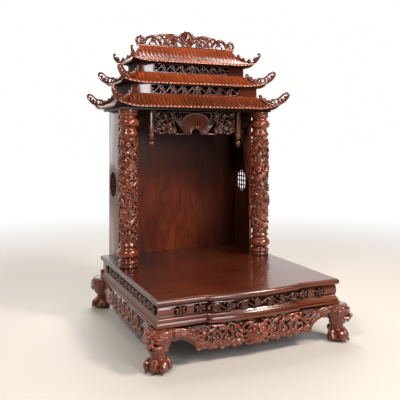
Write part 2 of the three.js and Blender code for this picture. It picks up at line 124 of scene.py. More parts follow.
def handOver(piece, name, slotName, material, *nodes):
    only(piece)
    bpy.ops.object.transform_apply(location=True, rotation=True, scale=True)
    piece.name = name
    piece.data.name = name
    piece.data.materials.clear()
    piece.data.materials.append(material)
    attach(piece, "root")
    if nodes:
        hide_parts(*nodes)
    return piece


def strands(name, lines, place, sides=2):
    # tapered carved stems: every line is a list of (across, up, out, radius) in mm
    bpy.ops.curve.primitive_nurbs_path_add(location=(0, 0, 0))
    stems = bpy.context.object
    stems.name = name
    stems.data.splines.clear()
    stems.data.dimensions = "3D"
    stems.data.bevel_depth = mm
    stems.data.bevel_resolution = sides
    stems.data.use_fill_caps = True
    for line in lines:
        stem = stems.data.splines.new("POLY")
        stem.points.add(len(line) - 1)
        for point, (across, up, out, radius) in zip(stem.points, line):
            point.co = (*place(across, up, out), 1)
            point.radius = radius
    only(stems)
    bpy.ops.object.convert(target="MESH")
    return bpy.context.object


def smoothLine(points, steps=6):
    # a soft curve through every given point
    ends = [points[0]] + list(points) + [points[-1]]
    line = []
    for a, b, c, d in zip(ends, ends[1:], ends[2:], ends[3:]):
        for i in range(steps):
            t = i / steps
            line.append(tuple(0.5 * (2 * q + (r - p) * t + (2 * p - 5 * q + 4 * r - s) * t * t
                                     + (3 * q - p - 3 * r + s) * t ** 3) for p, q, r, s in zip(a, b, c, d)))
    line.append(tuple(points[-1]))
    return line


def volute(across, up, size, start, turns, hand, out=0, thick=4, tail=2.2, rise=0, eye=0.22):
    # a spiral that winds in from its rim to a bud
    line = []
    steps = max(8, int(14 * turns))
    for i in range(steps + 1):
        t = i / steps
        reach = size * (1 - (1 - eye) * t)
        angle = start + hand * turns * 2 * math.pi * t
        line.append((across + reach * math.cos(angle), up + reach * math.sin(angle), out + rise * t,
                     thick + (tail - thick) * t))
    line.append((line[-1][0], line[-1][1], line[-1][2] + 0.6, tail * 1.5))
    return line


def leaf(across, up, length, angle, out=0, thick=4, bend=0.5, rise=2):
    # a carved leaf: swells, then runs out to a bent tip
    line = []
    for i in range(8):
        t = i / 7
        turn = angle + bend * t
        swell = 0.35 + math.sin(math.pi * min(t * 1.15, 1)) * 0.75
        line.append((across + length * t * math.cos(turn), up + length * t * math.sin(turn),
                     out + rise * math.sin(math.pi * t), thick * swell * (1 - 0.55 * t)))
    return line


def bead(across, up, radius, out=0, flat=0.6):
    # a rounded knob
    profile = [(-1, 0.3), (-0.7, 0.75), (0, 1), (0.7, 0.75), (1, 0.25)]
    return [(across, up, out + radius * flat * depth, radius * share) for depth, share in profile]


def flipped(lines):
    return [[(-across, up, out, radius) for across, up, out, radius in line] for line in lines]


def loft(name, rings):
    # a closed skin through rings of equal count
    count = len(rings[0])
    spots = [p for ring in rings for p in ring]
    faces = [tuple(reversed(range(count))), tuple(range(len(spots) - count, len(spots)))]
    for r in range(len(rings) - 1):
        for i in range(count):
            a, b = r * count + i, r * count + (i + 1) % count
            faces.append((a, b, b + count, a + count))
    mesh = bpy.data.meshes.new(name)
    mesh.from_pydata(spots, [], faces)
    piece = bpy.data.objects.new(name, mesh)
    bpy.context.collection.objects.link(piece)
    tidyMesh(piece)
    return piece


def walkOutline(points):
    # one vertex walked round an outline
    deselect()
    bpy.ops.mesh.primitive_plane_add(size=0.01, location=(0, 0, 0))
    bpy.ops.object.mode_set(mode="EDIT")
    bpy.ops.mesh.select_all(action="SELECT")
    bpy.ops.mesh.merge(type="CENTER")
    bpy.ops.transform.translate(value=points[0])
    for before, here in zip(points, points[1:]):
        bpy.ops.mesh.extrude_vertices_move(TRANSFORM_OT_translate={"value": Vector(here) - Vector(before)})
    return bpy.context.object


def turned(profile, centre, segments=64):
    # lathe work: the half profile is walked, then spun about the upright through centre
    x, y, z = centre
    points = [Vector((x + r * mm, y, z + h * mm)) for r, h in profile]
    piece = walkOutline(points)
    bpy.ops.mesh.select_all(action="SELECT")
    bpy.ops.mesh.spin(steps=segments, angle=2 * math.pi, center=centre, axis=(0, 0, 1), dupli=False)
    bpy.ops.object.mode_set(mode="OBJECT")
    tidyMesh(piece, 0.02)
    return piece


def roundedBoard(name, low, high, edge=1.2, segments=2):
    # a sawn board with its arrises taken off
    size = [b - a for a, b in zip(low, high)]
    centre = [(a + b) / 2 for a, b in zip(low, high)]
    bpy.ops.mesh.primitive_cube_add(size=1, location=centre, scale=size)
    board = bpy.context.object
    bpy.ops.object.transform_apply(location=True, rotation=True, scale=True)
    bpy.ops.object.mode_set(mode="EDIT")
    bpy.ops.mesh.select_all(action="SELECT")
    bpy.ops.mesh.bevel(offset=edge * mm, segments=segments, profile=0.5, affect="EDGES")
    bpy.ops.object.mode_set(mode="OBJECT")
    board.name = name
    return board


def cutBays(piece, bays, rounds=(), along="Y", sides=16):
    # windows sawn through, each (low corner, high corner), and round holes, each (centre, radius)
    saws = []
    for low, high in bays:
        size = [b - a for a, b in zip(low, high)]
        centre = [(a + b) / 2 for a, b in zip(low, high)]
        deselect()
        bpy.ops.mesh.primitive_cube_add(size=1, location=centre, scale=size)
        bpy.ops.object.transform_apply(location=True, rotation=True, scale=True)
        applyModifier(bpy.context.object, "round", "BEVEL", width=4 * mm, segments=3)
        saws.append(bpy.context.object)
    for centre, radius in rounds:
        tilt = (math.pi / 2, 0, 0) if along == "Y" else (0, math.pi / 2, 0)
        deselect()
        bpy.ops.mesh.primitive_cylinder_add(vertices=sides, radius=radius, depth=0.12, location=centre,
                                            rotation=tilt)
        bpy.ops.object.transform_apply(location=True, rotation=True, scale=True)
        saws.append(bpy.context.object)
    for saw in saws:
        applyModifier(piece, "bay", "BOOLEAN", operation="DIFFERENCE", object=saw, solver="EXACT")
        bpy.data.objects.remove(saw)


def newMaterial(name):
    material = bpy.data.materials.new(name)
    material.use_nodes = True
    nodes, links = material.node_tree.nodes, material.node_tree.links
    shader = next(n for n in nodes if n.type == "BSDF_PRINCIPLED")
    return material, nodes, links, shader


def noiseOf(nodes, links, vector, scale, detail, roughness=0.5, distortion=0):
    noise = nodes.new("ShaderNodeTexNoise")
    noise.inputs["Scale"].default_value = scale
    noise.inputs["Detail"].default_value = detail
    noise.inputs["Roughness"].default_value = roughness
    noise.inputs["Distortion"].default_value = distortion
    links.new(vector, noise.inputs["Vector"])
    return noise.outputs["Fac"]


def rampOf(nodes, links, driver, stops):
    # colours through (position, colour) stops
    ramp = nodes.new("ShaderNodeValToRGB")
    ends = ramp.color_ramp.elements
    for end, (position, colour) in zip(ends, (stops[0], stops[-1])):
        end.position = position
        end.color = (*colour, 1)
    for position, colour in stops[1:-1]:
        ends.new(position).color = (*colour, 1)
    links.new(driver, ramp.inputs["Fac"])
    return ramp.outputs["Color"]


def rangeOf(nodes, links, driver, start, end, soft=False):
    # the driver's stretch from start to end, each (in, out)
    stretch = nodes.new("ShaderNodeMapRange")
    if soft:
        stretch.interpolation_type = "SMOOTHSTEP"
    stretch.inputs["From Min"].default_value, stretch.inputs["To Min"].default_value = start
    stretch.inputs["From Max"].default_value, stretch.inputs["To Max"].default_value = end
    links.new(driver, stretch.inputs["Value"])
    return stretch.outputs["Result"]


def productOf(nodes, links, first, second):
    product = nodes.new("ShaderNodeMix")
    product.data_type = "RGBA"
    product.blend_type = "MULTIPLY"
    product.inputs["Factor"].default_value = 1
    links.new(first, product.inputs["A"])
    links.new(second, product.inputs["B"])
    return product.outputs["Result"]


def paintedLightPool(nodes, links, colour, place, look):
    # painted light: full colour round one spot, painted shade ever darker the farther from it
    reach = nodes.new("ShaderNodeVectorMath")
    reach.operation = "DISTANCE"
    links.new(place, reach.inputs[0])
    reach.inputs[1].default_value = look["paintedLightAt"]
    near, far = look["paintedLightReach"]
    dim = rangeOf(nodes, links, reach.outputs["Value"], (near, 1), (far, look.get("paintedLightLow", 0.16)), True)
    glowing = nodes.new("ShaderNodeVectorMath")
    glowing.operation = "SCALE"
    links.new(colour, glowing.inputs[0])
    links.new(dim, glowing.inputs["Scale"])
    return glowing.outputs["Vector"]


def paintedHollowShade(nodes, links, colour, look):
    # painted shade: colour darkened where ambient occlusion finds a hollow or crease
    hollow = nodes.new("ShaderNodeAmbientOcclusion")
    hollow.samples = 6
    hollow.inputs["Distance"].default_value = look["hollow"]
    shade = rampOf(nodes, links, hollow.outputs["AO"], [(0.3, look["paintedShadeTone"]), (0.85, (1, 1, 1))])
    return productOf(nodes, links, colour, shade)


def rubbedEdgesAndHighlights(nodes, links, colour, look):
    # ridges turned lighter, partly wear on the edges and partly a painted highlight
    geometry = nodes.new("ShaderNodeNewGeometry")
    ridge = rangeOf(nodes, links, geometry.outputs["Pointiness"], (0.51, 0), (0.62, look["rubAndHighlight"]))
    wornAndLit = nodes.new("ShaderNodeMix")
    wornAndLit.data_type = "RGBA"
    wornAndLit.inputs["B"].default_value = (*look["rubAndHighlightTone"], 1)
    links.new(ridge, wornAndLit.inputs["Factor"])
    links.new(colour, wornAndLit.inputs["A"])
    return wornAndLit.outputs["Result"]


def woodFinish(name, look):
    # lacquered wood: long grain, slow cloudy figure, painted shade in the hollows, rubbed edges that are
    # partly a painted highlight, and on some finishes a painted pool of light
    material, nodes, links, shader = newMaterial(name)
    place = nodes.new("ShaderNodeTexCoord").outputs["Object"]
    stretch = nodes.new("ShaderNodeMapping")
    stretch.inputs["Scale"].default_value = look["grain"]
    links.new(place, stretch.inputs["Vector"])
    grain = noiseOf(nodes, links, stretch.outputs["Vector"], 1, 7, 0.62, look.get("figure", 0.6))
    cloud = noiseOf(nodes, links, place, look.get("cloud", 5), 3)
    tones = rampOf(nodes, links, grain, [(0.32, look["dark"]), (0.5, look["body"]), (0.68, look["light"])])
    patches = rampOf(nodes, links, cloud, [(0.35, look.get("patchLow", (0.72, 0.66, 0.62))),
                                           (0.66, look.get("patchHigh", (1.2, 1.12, 1.05)))])
    colour = productOf(nodes, links, tones, patches)
    # painted light round one spot, painted shade away from it
    if look.get("paintedLightAt"):
        colour = paintedLightPool(nodes, links, colour, place, look)
    if look.get("hollow"):
        colour = paintedHollowShade(nodes, links, colour, look)
    if look.get("rubAndHighlight"):
        colour = rubbedEdgesAndHighlights(nodes, links, colour, look)
    links.new(colour, shader.inputs["Base Color"])
    gloss = rangeOf(nodes, links, cloud, (0, look["rough"] - 0.05), (1, look["rough"] + 0.05))
    links.new(gloss, shader.inputs["Roughness"])
    shader.inputs["IOR"].default_value = look.get("ior", 1.5)
    shader.inputs["Specular IOR Level"].default_value = look.get("shine", 0.5)
    shader.inputs["Specular Tint"].default_value = (*look.get("glint", (1, 0.82, 0.74)), 1)
    shader.inputs["Coat Weight"].default_value = look.get("coat", 0.5)
    shader.inputs["Coat Roughness"].default_value = look.get("coatRough", 0.08)
    shader.inputs["Coat IOR"].default_value = look.get("coatIor", 1.5)
    bump = nodes.new("ShaderNodeBump")
    bump.inputs["Strength"].default_value = look.get("bump", 0.12)
    bump.inputs["Distance"].default_value = 0.0006
    links.new(grain, bump.inputs["Height"])
    links.new(bump.outputs["Normal"], shader.inputs["Normal"])
    return material


def toned(look, factor):
    return dict(look, **{key: tuple(c * factor for c in look[key]) for key in ("dark", "body", "light")})


lacquerLook = {
    "grain": (6, 90, 90), "figure": 0.8, "cloud": 4,
    "dark": (0.052, 0.0098, 0.0038), "body": (0.08, 0.0155, 0.0056), "light": (0.115, 0.025, 0.009),
    "rough": 0.26, "coat": 0.35, "coatRough": 0.08, "bump": 0.02,
}
sideLook = dict(lacquerLook, grain=(90, 90, 5), rough=0.2, coat=0.5, coatRough=0.14, coatIor=1.62, ior=1.68,
                glint=(1, 0.76, 0.66))
# painted light on the board's front right, painted shade farther in under the roof
boardLook = dict(lacquerLook, paintedLightAt=(0.16, -0.34, 0.21), paintedLightReach=(0.3, 0.72), paintedLightLow=0.42, coat=0.42)
railLook = dict(lacquerLook, rubAndHighlight=0.3, rubAndHighlightTone=(0.24, 0.06, 0.024), body=(0.085, 0.016, 0.006),
                hollow=0.02, paintedShadeTone=(0.12, 0.09, 0.08), light=(0.13, 0.029, 0.01), rough=0.2, coat=0.42)
sideRailLook = dict(railLook, coat=0.02, shine=0.3, glint=(1, 0.66, 0.54))
friezeRailLook = dict(railLook, body=(0.05, 0.009, 0.0036), light=(0.075, 0.015, 0.0055), rubAndHighlight=0.12,
                      rough=0.16, coatRough=0.05, glint=(1, 0.8, 0.72))
carvedLook = {
    "grain": (60, 60, 18), "figure": 0.5, "cloud": 9,
    "dark": (0.06, 0.0105, 0.004), "body": (0.125, 0.022, 0.008), "light": (0.19, 0.041, 0.014),
    "rough": 0.17, "coat": 0.5, "coatRough": 0.05, "bump": 0.03,
    "hollow": 0.02, "paintedShadeTone": (0.02, 0.012, 0.01), "rubAndHighlight": 0.55, "rubAndHighlightTone": (0.36, 0.11, 0.042),
}
# painted shade: a darker copy of the carved finish for the frieze carving, valance, pendants and tails
paintedShadeCarvedLook = dict(carvedLook, dark=(0.014, 0.0034, 0.002), body=(0.034, 0.0075, 0.0035),
                      light=(0.065, 0.016, 0.0075), rubAndHighlightTone=(0.28, 0.11, 0.07), coat=0.15, shine=0.35)
# painted shade: a dark, matt copy of the upright lacquer for faces that sit in shade
paintedShadeLook = dict(sideLook, dark=(0.012, 0.003, 0.0015), body=(0.03, 0.007, 0.003),
                 light=(0.05, 0.012, 0.005), rough=0.6, coat=0, shine=0.06)
roofLook = {
    "grain": (110, 12, 40), "figure": 0.4, "cloud": 6,
    "dark": (0.12, 0.02, 0.0056), "body": (0.17, 0.031, 0.0084), "light": (0.225, 0.047, 0.013),
    "rough": 0.3, "coat": 0.4, "coatRough": 0.16, "bump": 0.02,
    "hollow": 0.012, "paintedShadeTone": (0.07, 0.035, 0.03), "rubAndHighlight": 0.3, "rubAndHighlightTone": (0.45, 0.14, 0.05),
}
# painted light: the niche's back is brightest round one spot in its middle, painted shade towards its edges
veneerLook = {
    "grain": (14, 40, 3), "figure": 2.2, "cloud": 3,
    "dark": (0.06, 0.0088, 0.003), "body": (0.105, 0.0165, 0.0048), "light": (0.15, 0.031, 0.0085),
    "patchLow": (0.5, 0.4, 0.36), "patchHigh": (1.35, 1.3, 1.1), "paintedLightAt": (-0.09, 0.32, 0.4),
    "paintedLightReach": (0.06, 0.37), "rough": 0.34, "coat": 0.05, "coatRough": 0.2, "bump": 0.02, "shine": 0.16,
}
lacquer = woodFinish("redBrownLacquer", lacquerLook)
sideLacquer = woodFinish("uprightLacquer", sideLook)
boardLacquer = woodFinish("boardLacquer", boardLook)
railLacquer = woodFinish("railLacquer", railLook)
sideRailLacquer = woodFinish("sideRailLacquer", sideRailLook)
friezeLacquer = woodFinish("friezeLacquer", friezeRailLook)
carved = woodFinish("carvedLacquer", carvedLook)
darkCarved = woodFinish("darkCarving", toned(carvedLook, 0.72))
paintedShadeCarved = woodFinish("paintedShadeCarving", paintedShadeCarvedLook)
tiles = woodFinish("roofLacquer", roofLook)
paintedShadeWood = woodFinish("paintedShadeFinish", paintedShadeLook)
veneer = woodFinish("flamedVeneer", veneerLook)

slotMaterials = {"lacquered_wood": lacquer, "carved_wood": carved, "roof_wood": tiles, "veneer": veneer}
for part in frame["record"]["subparts"]:
    node = frame["nodes"][part["node"]]
    finish = slotMaterials[part["material_slot"]]
    if part["node"].startswith("cabinet_side"):
        finish = sideLacquer
    elif part["node"].startswith("neck"):
        # painted shade: the necks under each roof take the dark shaded finish
        finish = paintedShadeWood
    node.data.materials.clear()
    node.data.materials.append(finish)
print("finishes on", len(frame["nodes"]), "nodes")


def tierShape(tier):
    low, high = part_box(tier["node"])
    return {
        "eaveX": high.x, "eaveY": (high.y - low.y) / 2, "midY": (high.y + low.y) / 2,
        "base": low.z, "top": high.z, **tier,
    }


def climb(tier, t):
    # height share at a share of the way in from the eave: an even start, then steeper
    return tier["start"] * t + (1 - tier["start"]) * t ** tier["sweep"]


def cornerLift(tier, x, y):
    # nothing along the middle of an eave, full lift at the corner
    shares = []
    for here, eave, begins in ((x, tier["eaveX"], 0.72), (y, tier["eaveY"], 0.55)):
        shares.append(min(max((abs(here) / eave - begins) / (1 - begins), 0), 1) ** 2)
    return tier["lift"] * mm * shares[0] * shares[1]


slopeLook = {"edge": 7, "pitch": 16.5, "hipSteps": 36, "stepsPerTile": 8, "nose": 0.08, "ribFoot": 0.72,
             "soffit": 0.45}


def tileRoof(tier):
    # four slopes that meet on exact hips; the tiles run down the front and side slopes
    tier = tierShape(tier)
    eaveX, eaveY, midY = tier["eaveX"], tier["eaveY"], tier["midY"]
    neckX, neckY = tier["neckX"] * mm, tier["neckY"] * mm
    lip = tier["base"] + slopeLook["edge"] * mm
    rise = tier["top"] - lip
    pitch, depth = slopeLook["pitch"] * mm, tier["ribDepth"] * mm
    spots, faces = [], []

    def slope(span, neckSpan, run, neckRun, toPoint, ribbed):
        hipSteps = slopeLook["hipSteps"]
        flatSteps = max(12, int(2 * neckSpan / pitch * slopeLook["stepsPerTile"]))
        rows = tier["rows"] + 3
        nose = slopeLook["nose"]
        shares = [0, nose * 0.25, nose * 0.6]
        shares += [nose + (1 - nose) * k / tier["rows"] for k in range(tier["rows"] + 1)]
        columns = [-(span - (span - neckSpan) * i / hipSteps) for i in range(hipSteps)]
        columns += [-neckSpan + 2 * neckSpan * i / flatSteps for i in range(flatSteps + 1)]
        columns += [-c for c in reversed(columns[:hipSteps])]
        start = len(spots)
        for c in columns:
            reach = min(1, (span - abs(c)) / (span - neckSpan)) if span > neckSpan else 1
            u = (c / pitch) % 1 * 2 - 1
            rib = depth * (math.sqrt(max(0, 1 - u * u)) - slopeLook["ribFoot"]) if ribbed else 0
            for j in range(rows + 1):
                t = reach * shares[j]
                r = run - t * (run - neckRun)
                x, y = toPoint(c, r)
                fade = min(1, (reach - t) / 0.07, (span - abs(c)) / 0.012) if reach < 1 else 1
                fade *= min(1, (1 - t) / 0.03)
                z = lip + rise * climb(tier, t) + cornerLift(tier, x, y) + rib * fade
                if t < nose:
                    # the tiles end in a rounded nose
                    z -= tier["noseDrop"] * mm * (1 - t / nose) ** 2
                spots.append((x, y + midY, z))
        step = rows + 1
        for i in range(len(columns) - 1):
            for j in range(rows):
                a = start + i * step + j
                faces.append((a, a + step, a + step + 1, a + 1))
        # the eave board and the soffit under this slope
        under = len(spots)
        for c in columns:
            reach = (span - abs(c)) / (span - neckSpan) if span > neckSpan else 1
            x, y = toPoint(c, run)
            spots.append((x, y + midY, lip - slopeLook["edge"] * mm + cornerLift(tier, x, y)))
            deep = slopeLook["soffit"] * min(1, reach)
            x, y = toPoint(c, run - deep * (run - neckRun))
            spots.append((x, y + midY, lip - slopeLook["edge"] * mm + cornerLift(tier, x, y)))
            x, y = toPoint(c, run - min(1, reach) * (run - neckRun))
            spots.append((x, y + midY, lip - slopeLook["edge"] * mm + cornerLift(tier, x, y)))
        for i in range(len(columns) - 1):
            a, b = start + i * step, under + 3 * i
            faces.append((b, b + 3, a + step, a))
            faces.append((b + 1, b + 4, b + 3, b))
            faces.append((b + 2, b + 5, b + 4, b + 1))
        return columns

    slope(eaveX, neckX, eaveY, neckY, lambda c, r: (c, -r), True)
    slope(eaveX, neckX, eaveY, neckY, lambda c, r: (-c, r), False)
    slope(eaveY, neckY, eaveX, neckX, lambda c, r: (r, c), True)
    slope(eaveY, neckY, eaveX, neckX, lambda c, r: (-r, -c), True)
    mesh = bpy.data.meshes.new(tier["node"])
    mesh.from_pydata(spots, [], faces)
    roof = bpy.data.objects.new(tier["node"] + "_tiled", mesh)
    bpy.context.collection.objects.link(roof)
    only(roof)
    bpy.ops.object.mode_set(mode="EDIT")
    bpy.ops.mesh.select_all(action="SELECT")
    bpy.ops.mesh.remove_doubles(threshold=0.00002)
    bpy.ops.mesh.select_all(action="DESELECT")
    bpy.ops.mesh.select_non_manifold()
    bpy.ops.mesh.edge_face_add()
    bpy.ops.mesh.select_all(action="SELECT")
    bpy.ops.mesh.normals_make_consistent(inside=False)
    bpy.ops.object.mode_set(mode="OBJECT")
    only(roof)
    bpy.ops.object.shade_smooth_by_angle(angle=math.radians(50))
    finish = woodFinish(tier["node"] + "Lacquer", toned(roofLook, tier["tone"]))
    handOver(roof, tier["node"] + "_tiled", "roof_wood", finish, tier["node"])
    # painted shade: faces turned down under the eaves take the dark shaded finish
    roof.data.materials.append(paintedShadeWood)
    for face in roof.data.polygons:
        if face.normal.z < -0.5:
            face.material_index = 1


tiers = [
    {"node": "roof_lower", "neckX": 275, "neckY": 116, "lift": 22, "start": 0.3, "sweep": 2.4,
     "ribDepth": 7, "rows": 14, "noseDrop": 5, "tone": 0.82},
    {"node": "roof_middle", "neckX": 236, "neckY": 70, "lift": 16, "start": 0.3, "sweep": 2.4,
     "ribDepth": 7, "rows": 14, "noseDrop": 5, "tone": 1.22},
    {"node": "roof_upper", "neckX": 208, "neckY": 13, "lift": 12, "start": 0.5, "sweep": 3.4,
     "ribDepth": 6, "rows": 18, "noseDrop": 4, "tone": 1.3},
]
for tier in tiers:
    tileRoof(tier)
print("roof tiers tiled")


columnLook = {
    "half": [(0, 0), (36, 0), (37.5, 2), (37.5, 9), (35.5, 11), (36, 14), (39, 18), (39.5, 22), (38, 26),
             (33, 29), (30.5, 32), (31, 35), (38, 40), (42, 46), (43, 52), (42, 60), (38, 66), (32, 71),
             (30.5, 75), (32, 79), (36, 83), (36.5, 87), (33, 91), (31, 95), (30.5, 110), (30.5, 490),
             (31, 500), (36, 505), (38, 511), (36, 518), (31, 525), (29.5, 532), (33, 538), (41, 544),
             (43, 551), (42, 560), (37, 568), (31, 573), (30.5, 579), (36, 584), (38, 589), (35, 593),
             (36.5, 597), (37, 605.4), (0, 605.4)],
    "core": 30, "wrap": 33, "carvedFrom": 100, "carvedTall": 398, "coilFrom": 112, "coilTall": 372,
    "coilTurns": 2.7, "coilThick": 10.5, "curls": 96, "leaves": 170, "voxel": 1.5, "keep": 0.27,
}


def carvedColumn(node, seed, turn):
    low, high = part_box(node)
    centre = Vector(((low.x + high.x) / 2, (low.y + high.y) / 2, low.z))
    shaft = turned(columnLook["half"], centre, 72)
    girth = 2 * math.pi * columnLook["wrap"]
    chance = random.Random(seed)

    def place(across, up, out):
        angle = across / columnLook["wrap"] + turn
        reach = (columnLook["core"] + out) * mm
        return (centre.x + reach * math.cos(angle), centre.y + reach * math.sin(angle), centre.z + up * mm)

    lines = []
    coil = []
    turns = columnLook["coilTurns"]
    for i in range(150):
        t = i / 149
        up = columnLook["coilFrom"] + columnLook["coilTall"] * t + 6 * math.sin(t * 40)
        swell = columnLook["coilThick"] * min(1, 0.35 + 4 * t, 0.45 + 5 * (1 - t))
        coil.append((girth * turns * t, up, 2 + 1.5 * math.sin(t * 23),
                     swell * (0.93 + 0.07 * math.cos(i * 1.9))))
    lines.append(coil)
    for i in range(4, 146, 2):
        across, up, out, radius = coil[i]
        lines.append(leaf(across, up + radius * 0.7, 11, 1.9, out + 4, 2.4, 0.7, 2))
        lines.append(bead(across + 3, up - 2, 3.4, out + radius - 1.5, 0.5))
    curls = columnLook["curls"]
    for i in range(curls):
        up = columnLook["carvedFrom"] + columnLook["carvedTall"] * (i + 0.5) / curls
        across = (i * 0.618034 * girth) % girth
        size = chance.uniform(7, 12)
        lines.append(volute(across, up, size, chance.uniform(0, 6.28), chance.uniform(0.8, 1.2),
                            chance.choice((-1, 1)), chance.uniform(2, 5.5), 4, 2.6, chance.uniform(0, 2)))
    for i in range(columnLook["leaves"]):
        up = 104 + 380 * chance.random()
        lines.append(leaf(chance.uniform(0, girth), up, chance.uniform(16, 32), chance.uniform(0.5, 2.5),
                          chance.uniform(2, 6), chance.uniform(4, 5.6), chance.uniform(-1.6, 1.6), 3))
    column = joinAll([shaft, strands(node, lines, place)])
    fuse(column, columnLook["voxel"], 0.5, 2, columnLook["keep"])
    return handOver(column, node + "_carved", "carved_wood", carved, node)


carvedColumn("column_left", 11, 2.1)
carvedColumn("column_right", 29, 0.4)
print("columns carved")


panelLook = {"back": 66, "up": 303, "hole": 51, "ring": 52.5, "pitch": 20, "bar": 3.2, "thin": 1.6,
             "voxel": 1.2, "keep": 0.4}


def sidePanel(node, side):
    low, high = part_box(node)
    centre = Vector(((low.x + high.x) / 2, high.y - panelLook["back"] * mm, low.z + panelLook["up"] * mm))
    panel = roundedBoard(node, low, high, 0.8, 2)
    cutBays(panel, [], [(centre, panelLook["hole"] * mm)], "X", 48)
    only(panel)
    bpy.ops.object.shade_smooth_by_angle(angle=math.radians(35))

    def place(across, up, out):
        return (centre.x + side * out * panelLook["thin"] / panelLook["bar"] * mm, centre.y + across * mm,
                centre.z + up * mm)

    angles = [2 * math.pi * k / 48 for k in range(49)]
    lines = [[(size * math.cos(a), size * math.sin(a), 0, thick) for a in angles]
             for size, thick in ((panelLook["ring"], 4), (panelLook["ring"] * 0.93, 2.4))]
    for k in range(-2, 3):
        shift = k * panelLook["pitch"]
        reach = math.sqrt(panelLook["ring"] ** 2 - shift ** 2)
        lines.append([(shift, -reach, 0, panelLook["bar"]), (shift, reach, 0, panelLook["bar"])])
        lines.append([(-reach, shift, 0, panelLook["bar"]), (reach, shift, 0, panelLook["bar"])])
    lattice = strands("lattice", lines, place, 1)
    fuse(lattice, panelLook["voxel"], 0.4, 1, panelLook["keep"])
    handOver(panel, node + "_panel", "lacquered_wood", sideLacquer, node)
    # painted shade: the side turned to the niche takes the dark shaded finish
    panel.data.materials.append(paintedShadeWood)
    for face in panel.data.polygons:
        if face.normal.x * side < -0.5:
            face.material_index = 1
    # painted shade: the lattice takes the dark shaded finish too
    handOver(lattice, node + "_lattice", "lacquered_wood", paintedShadeWood, node)


sidePanel("cabinet_side_left", -1)
sidePanel("cabinet_side_right", 1)
print("side panels pierced")


legLook = {
    "rings": [(0, 20, 32, 29), (12, 21, 34, 33), (30, 21, 29, 29), (44, 21, 24, 25), (56, 21, 22, 23),
              (70, 22, 26, 27), (88, 22, 32, 34), (108, 18, 38, 40), (126, 12, 39, 41)],
    "halfD": 360, "inset": 22, "maneRows": (66, 74, 82, 91, 100, 109, 118), "voxel": 1.2, "keep": 0.38,
}


def legPlace(corner, turn):
    rings = legLook["rings"]

    def flat(p, q, z):
        return (corner.x + (p * math.cos(turn) - q * math.sin(turn)) * mm,
                corner.y + (p * math.sin(turn) + q * math.cos(turn)) * mm, z * mm)

    def wrapped(across, up, out):
        up = min(max(up, 0.5), 125.5)
        above = next(i for i in range(1, len(rings)) if rings[i][0] >= up)
        a, b = rings[above - 1], rings[above]
        t = (up - a[0]) / (b[0] - a[0])
        centre, long, wide = [a[k] + (b[k] - a[k]) * t for k in (1, 2, 3)]
        angle = across / 42
        return flat(centre + (long + out) * math.cos(angle), (wide + out) * math.sin(angle), up)
    return flat, wrapped


def lionLeg(node, sideX, sideY):
    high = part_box("base_board")[1]
    halfD, inset = legLook["halfD"] * mm, legLook["inset"] * mm
    corner = Vector((sideX * (high.x - inset), sideY * (halfD - inset) + high.y - halfD, 0))
    turn = math.atan2(sideY, sideX)
    flat, wrapped = legPlace(corner, turn)
    mane = []
    for row, up in enumerate(legLook["maneRows"]):
        for k in range(-8, 9):
            across = k * 13 + (row % 2) * 6.5
            if abs(across) < 10 and 84 < up < 104:
                continue
            hand = 1 if (row + k) % 2 else -1
            mane.append(volute(across, up, 5.4 + 0.25 * row, 1.2 + k * 0.8, 1.2, hand, 2, 3.4, 2.4, 2.5))
            if (row + k) % 2:
                mane.append(leaf(across + 5, up + 3, 12, -1.2 - 0.1 * k, 3, 3.2, 0.9, 2.5))
    angles = [2 * math.pi * k / 24 for k in range(24)]
    core = loft("core", [[flat(centre + long * math.cos(a), wide * math.sin(a), up) for a in angles]
                         for up, centre, long, wide in legLook["rings"]])
    face, feet = [], []
    for hand in (-1, 1):
        face.append(smoothLine([(56, hand * 4, 112, 4.5), (61, hand * 12, 111, 5.5),
                                (57, hand * 22, 107, 5), (50, hand * 29, 112, 3)]))
        face.append(smoothLine([(58, hand * 10, 99, 5.4), (60, hand * 14, 99, 6), (56, hand * 19, 98, 4)],
                               3))
        face.append(smoothLine([(66, hand * 3, 88, 5), (66, hand * 10, 84, 6.5), (58, hand * 20, 82, 6),
                                (50, hand * 27, 86, 3)]))
        face.append(smoothLine([(60, hand * 12, 76, 2.6), (62, hand * 12, 70, 1.8),
                                (62, hand * 11, 66, 0.8)], 3))
        face.append(smoothLine([(46, hand * 30, 104, 4), (40, hand * 38, 110, 4), (34, hand * 42, 104, 3),
                                (38, hand * 40, 98, 2)]))
        feet.append(smoothLine([(8, hand * 20, 36, 8), (8, hand * 29, 26, 9.5), (12, hand * 32, 15, 10.5),
                                (16, hand * 31, 10, 9)]))
    face.append(smoothLine([(56, 0, 108, 5), (62, 0, 98, 6), (69, 0, 90, 8), (70, 0, 86, 7)]))
    face.append(smoothLine([(60, -14, 74, 3), (62, 0, 72, 4), (60, 14, 74, 3)]))
    # one heel spur, on the flank
    flank = -sideX * sideY
    feet.append(smoothLine([(6, flank * 24, 18, 8), (-6, flank * 33, 20, 7), (-13, flank * 38, 27, 6),
                            (-11, flank * 40, 35, 5), (-4, flank * 37, 37, 4), (-3, flank * 34, 31, 3.4)],
                           4))
    for across in (-27, 0, 27):
        tip = 50 - abs(across) * 0.3
        feet.append(smoothLine([(tip - 16, across * 0.8, 37, 6), (tip - 6, across * 0.94, 31, 11),
                                (tip, across, 23, 13), (tip + 1, across, 15, 12.4), (tip, across, 9, 10)]))
        feet.append(smoothLine([(tip + 10, across, 9, 4.4), (tip + 13, across, 4, 3),
                                (tip + 12, across, 2, 1.6)], 4))
    body = joinAll([core, strands("mane", mane, wrapped), strands("face", face + feet, flat)])
    fuse(body, legLook["voxel"], 0.5, 2, legLook["keep"])
    trimUpright(body, 0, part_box(node)[1].z)
    return handOver(body, node + "_carved", "carved_wood", carved, node)


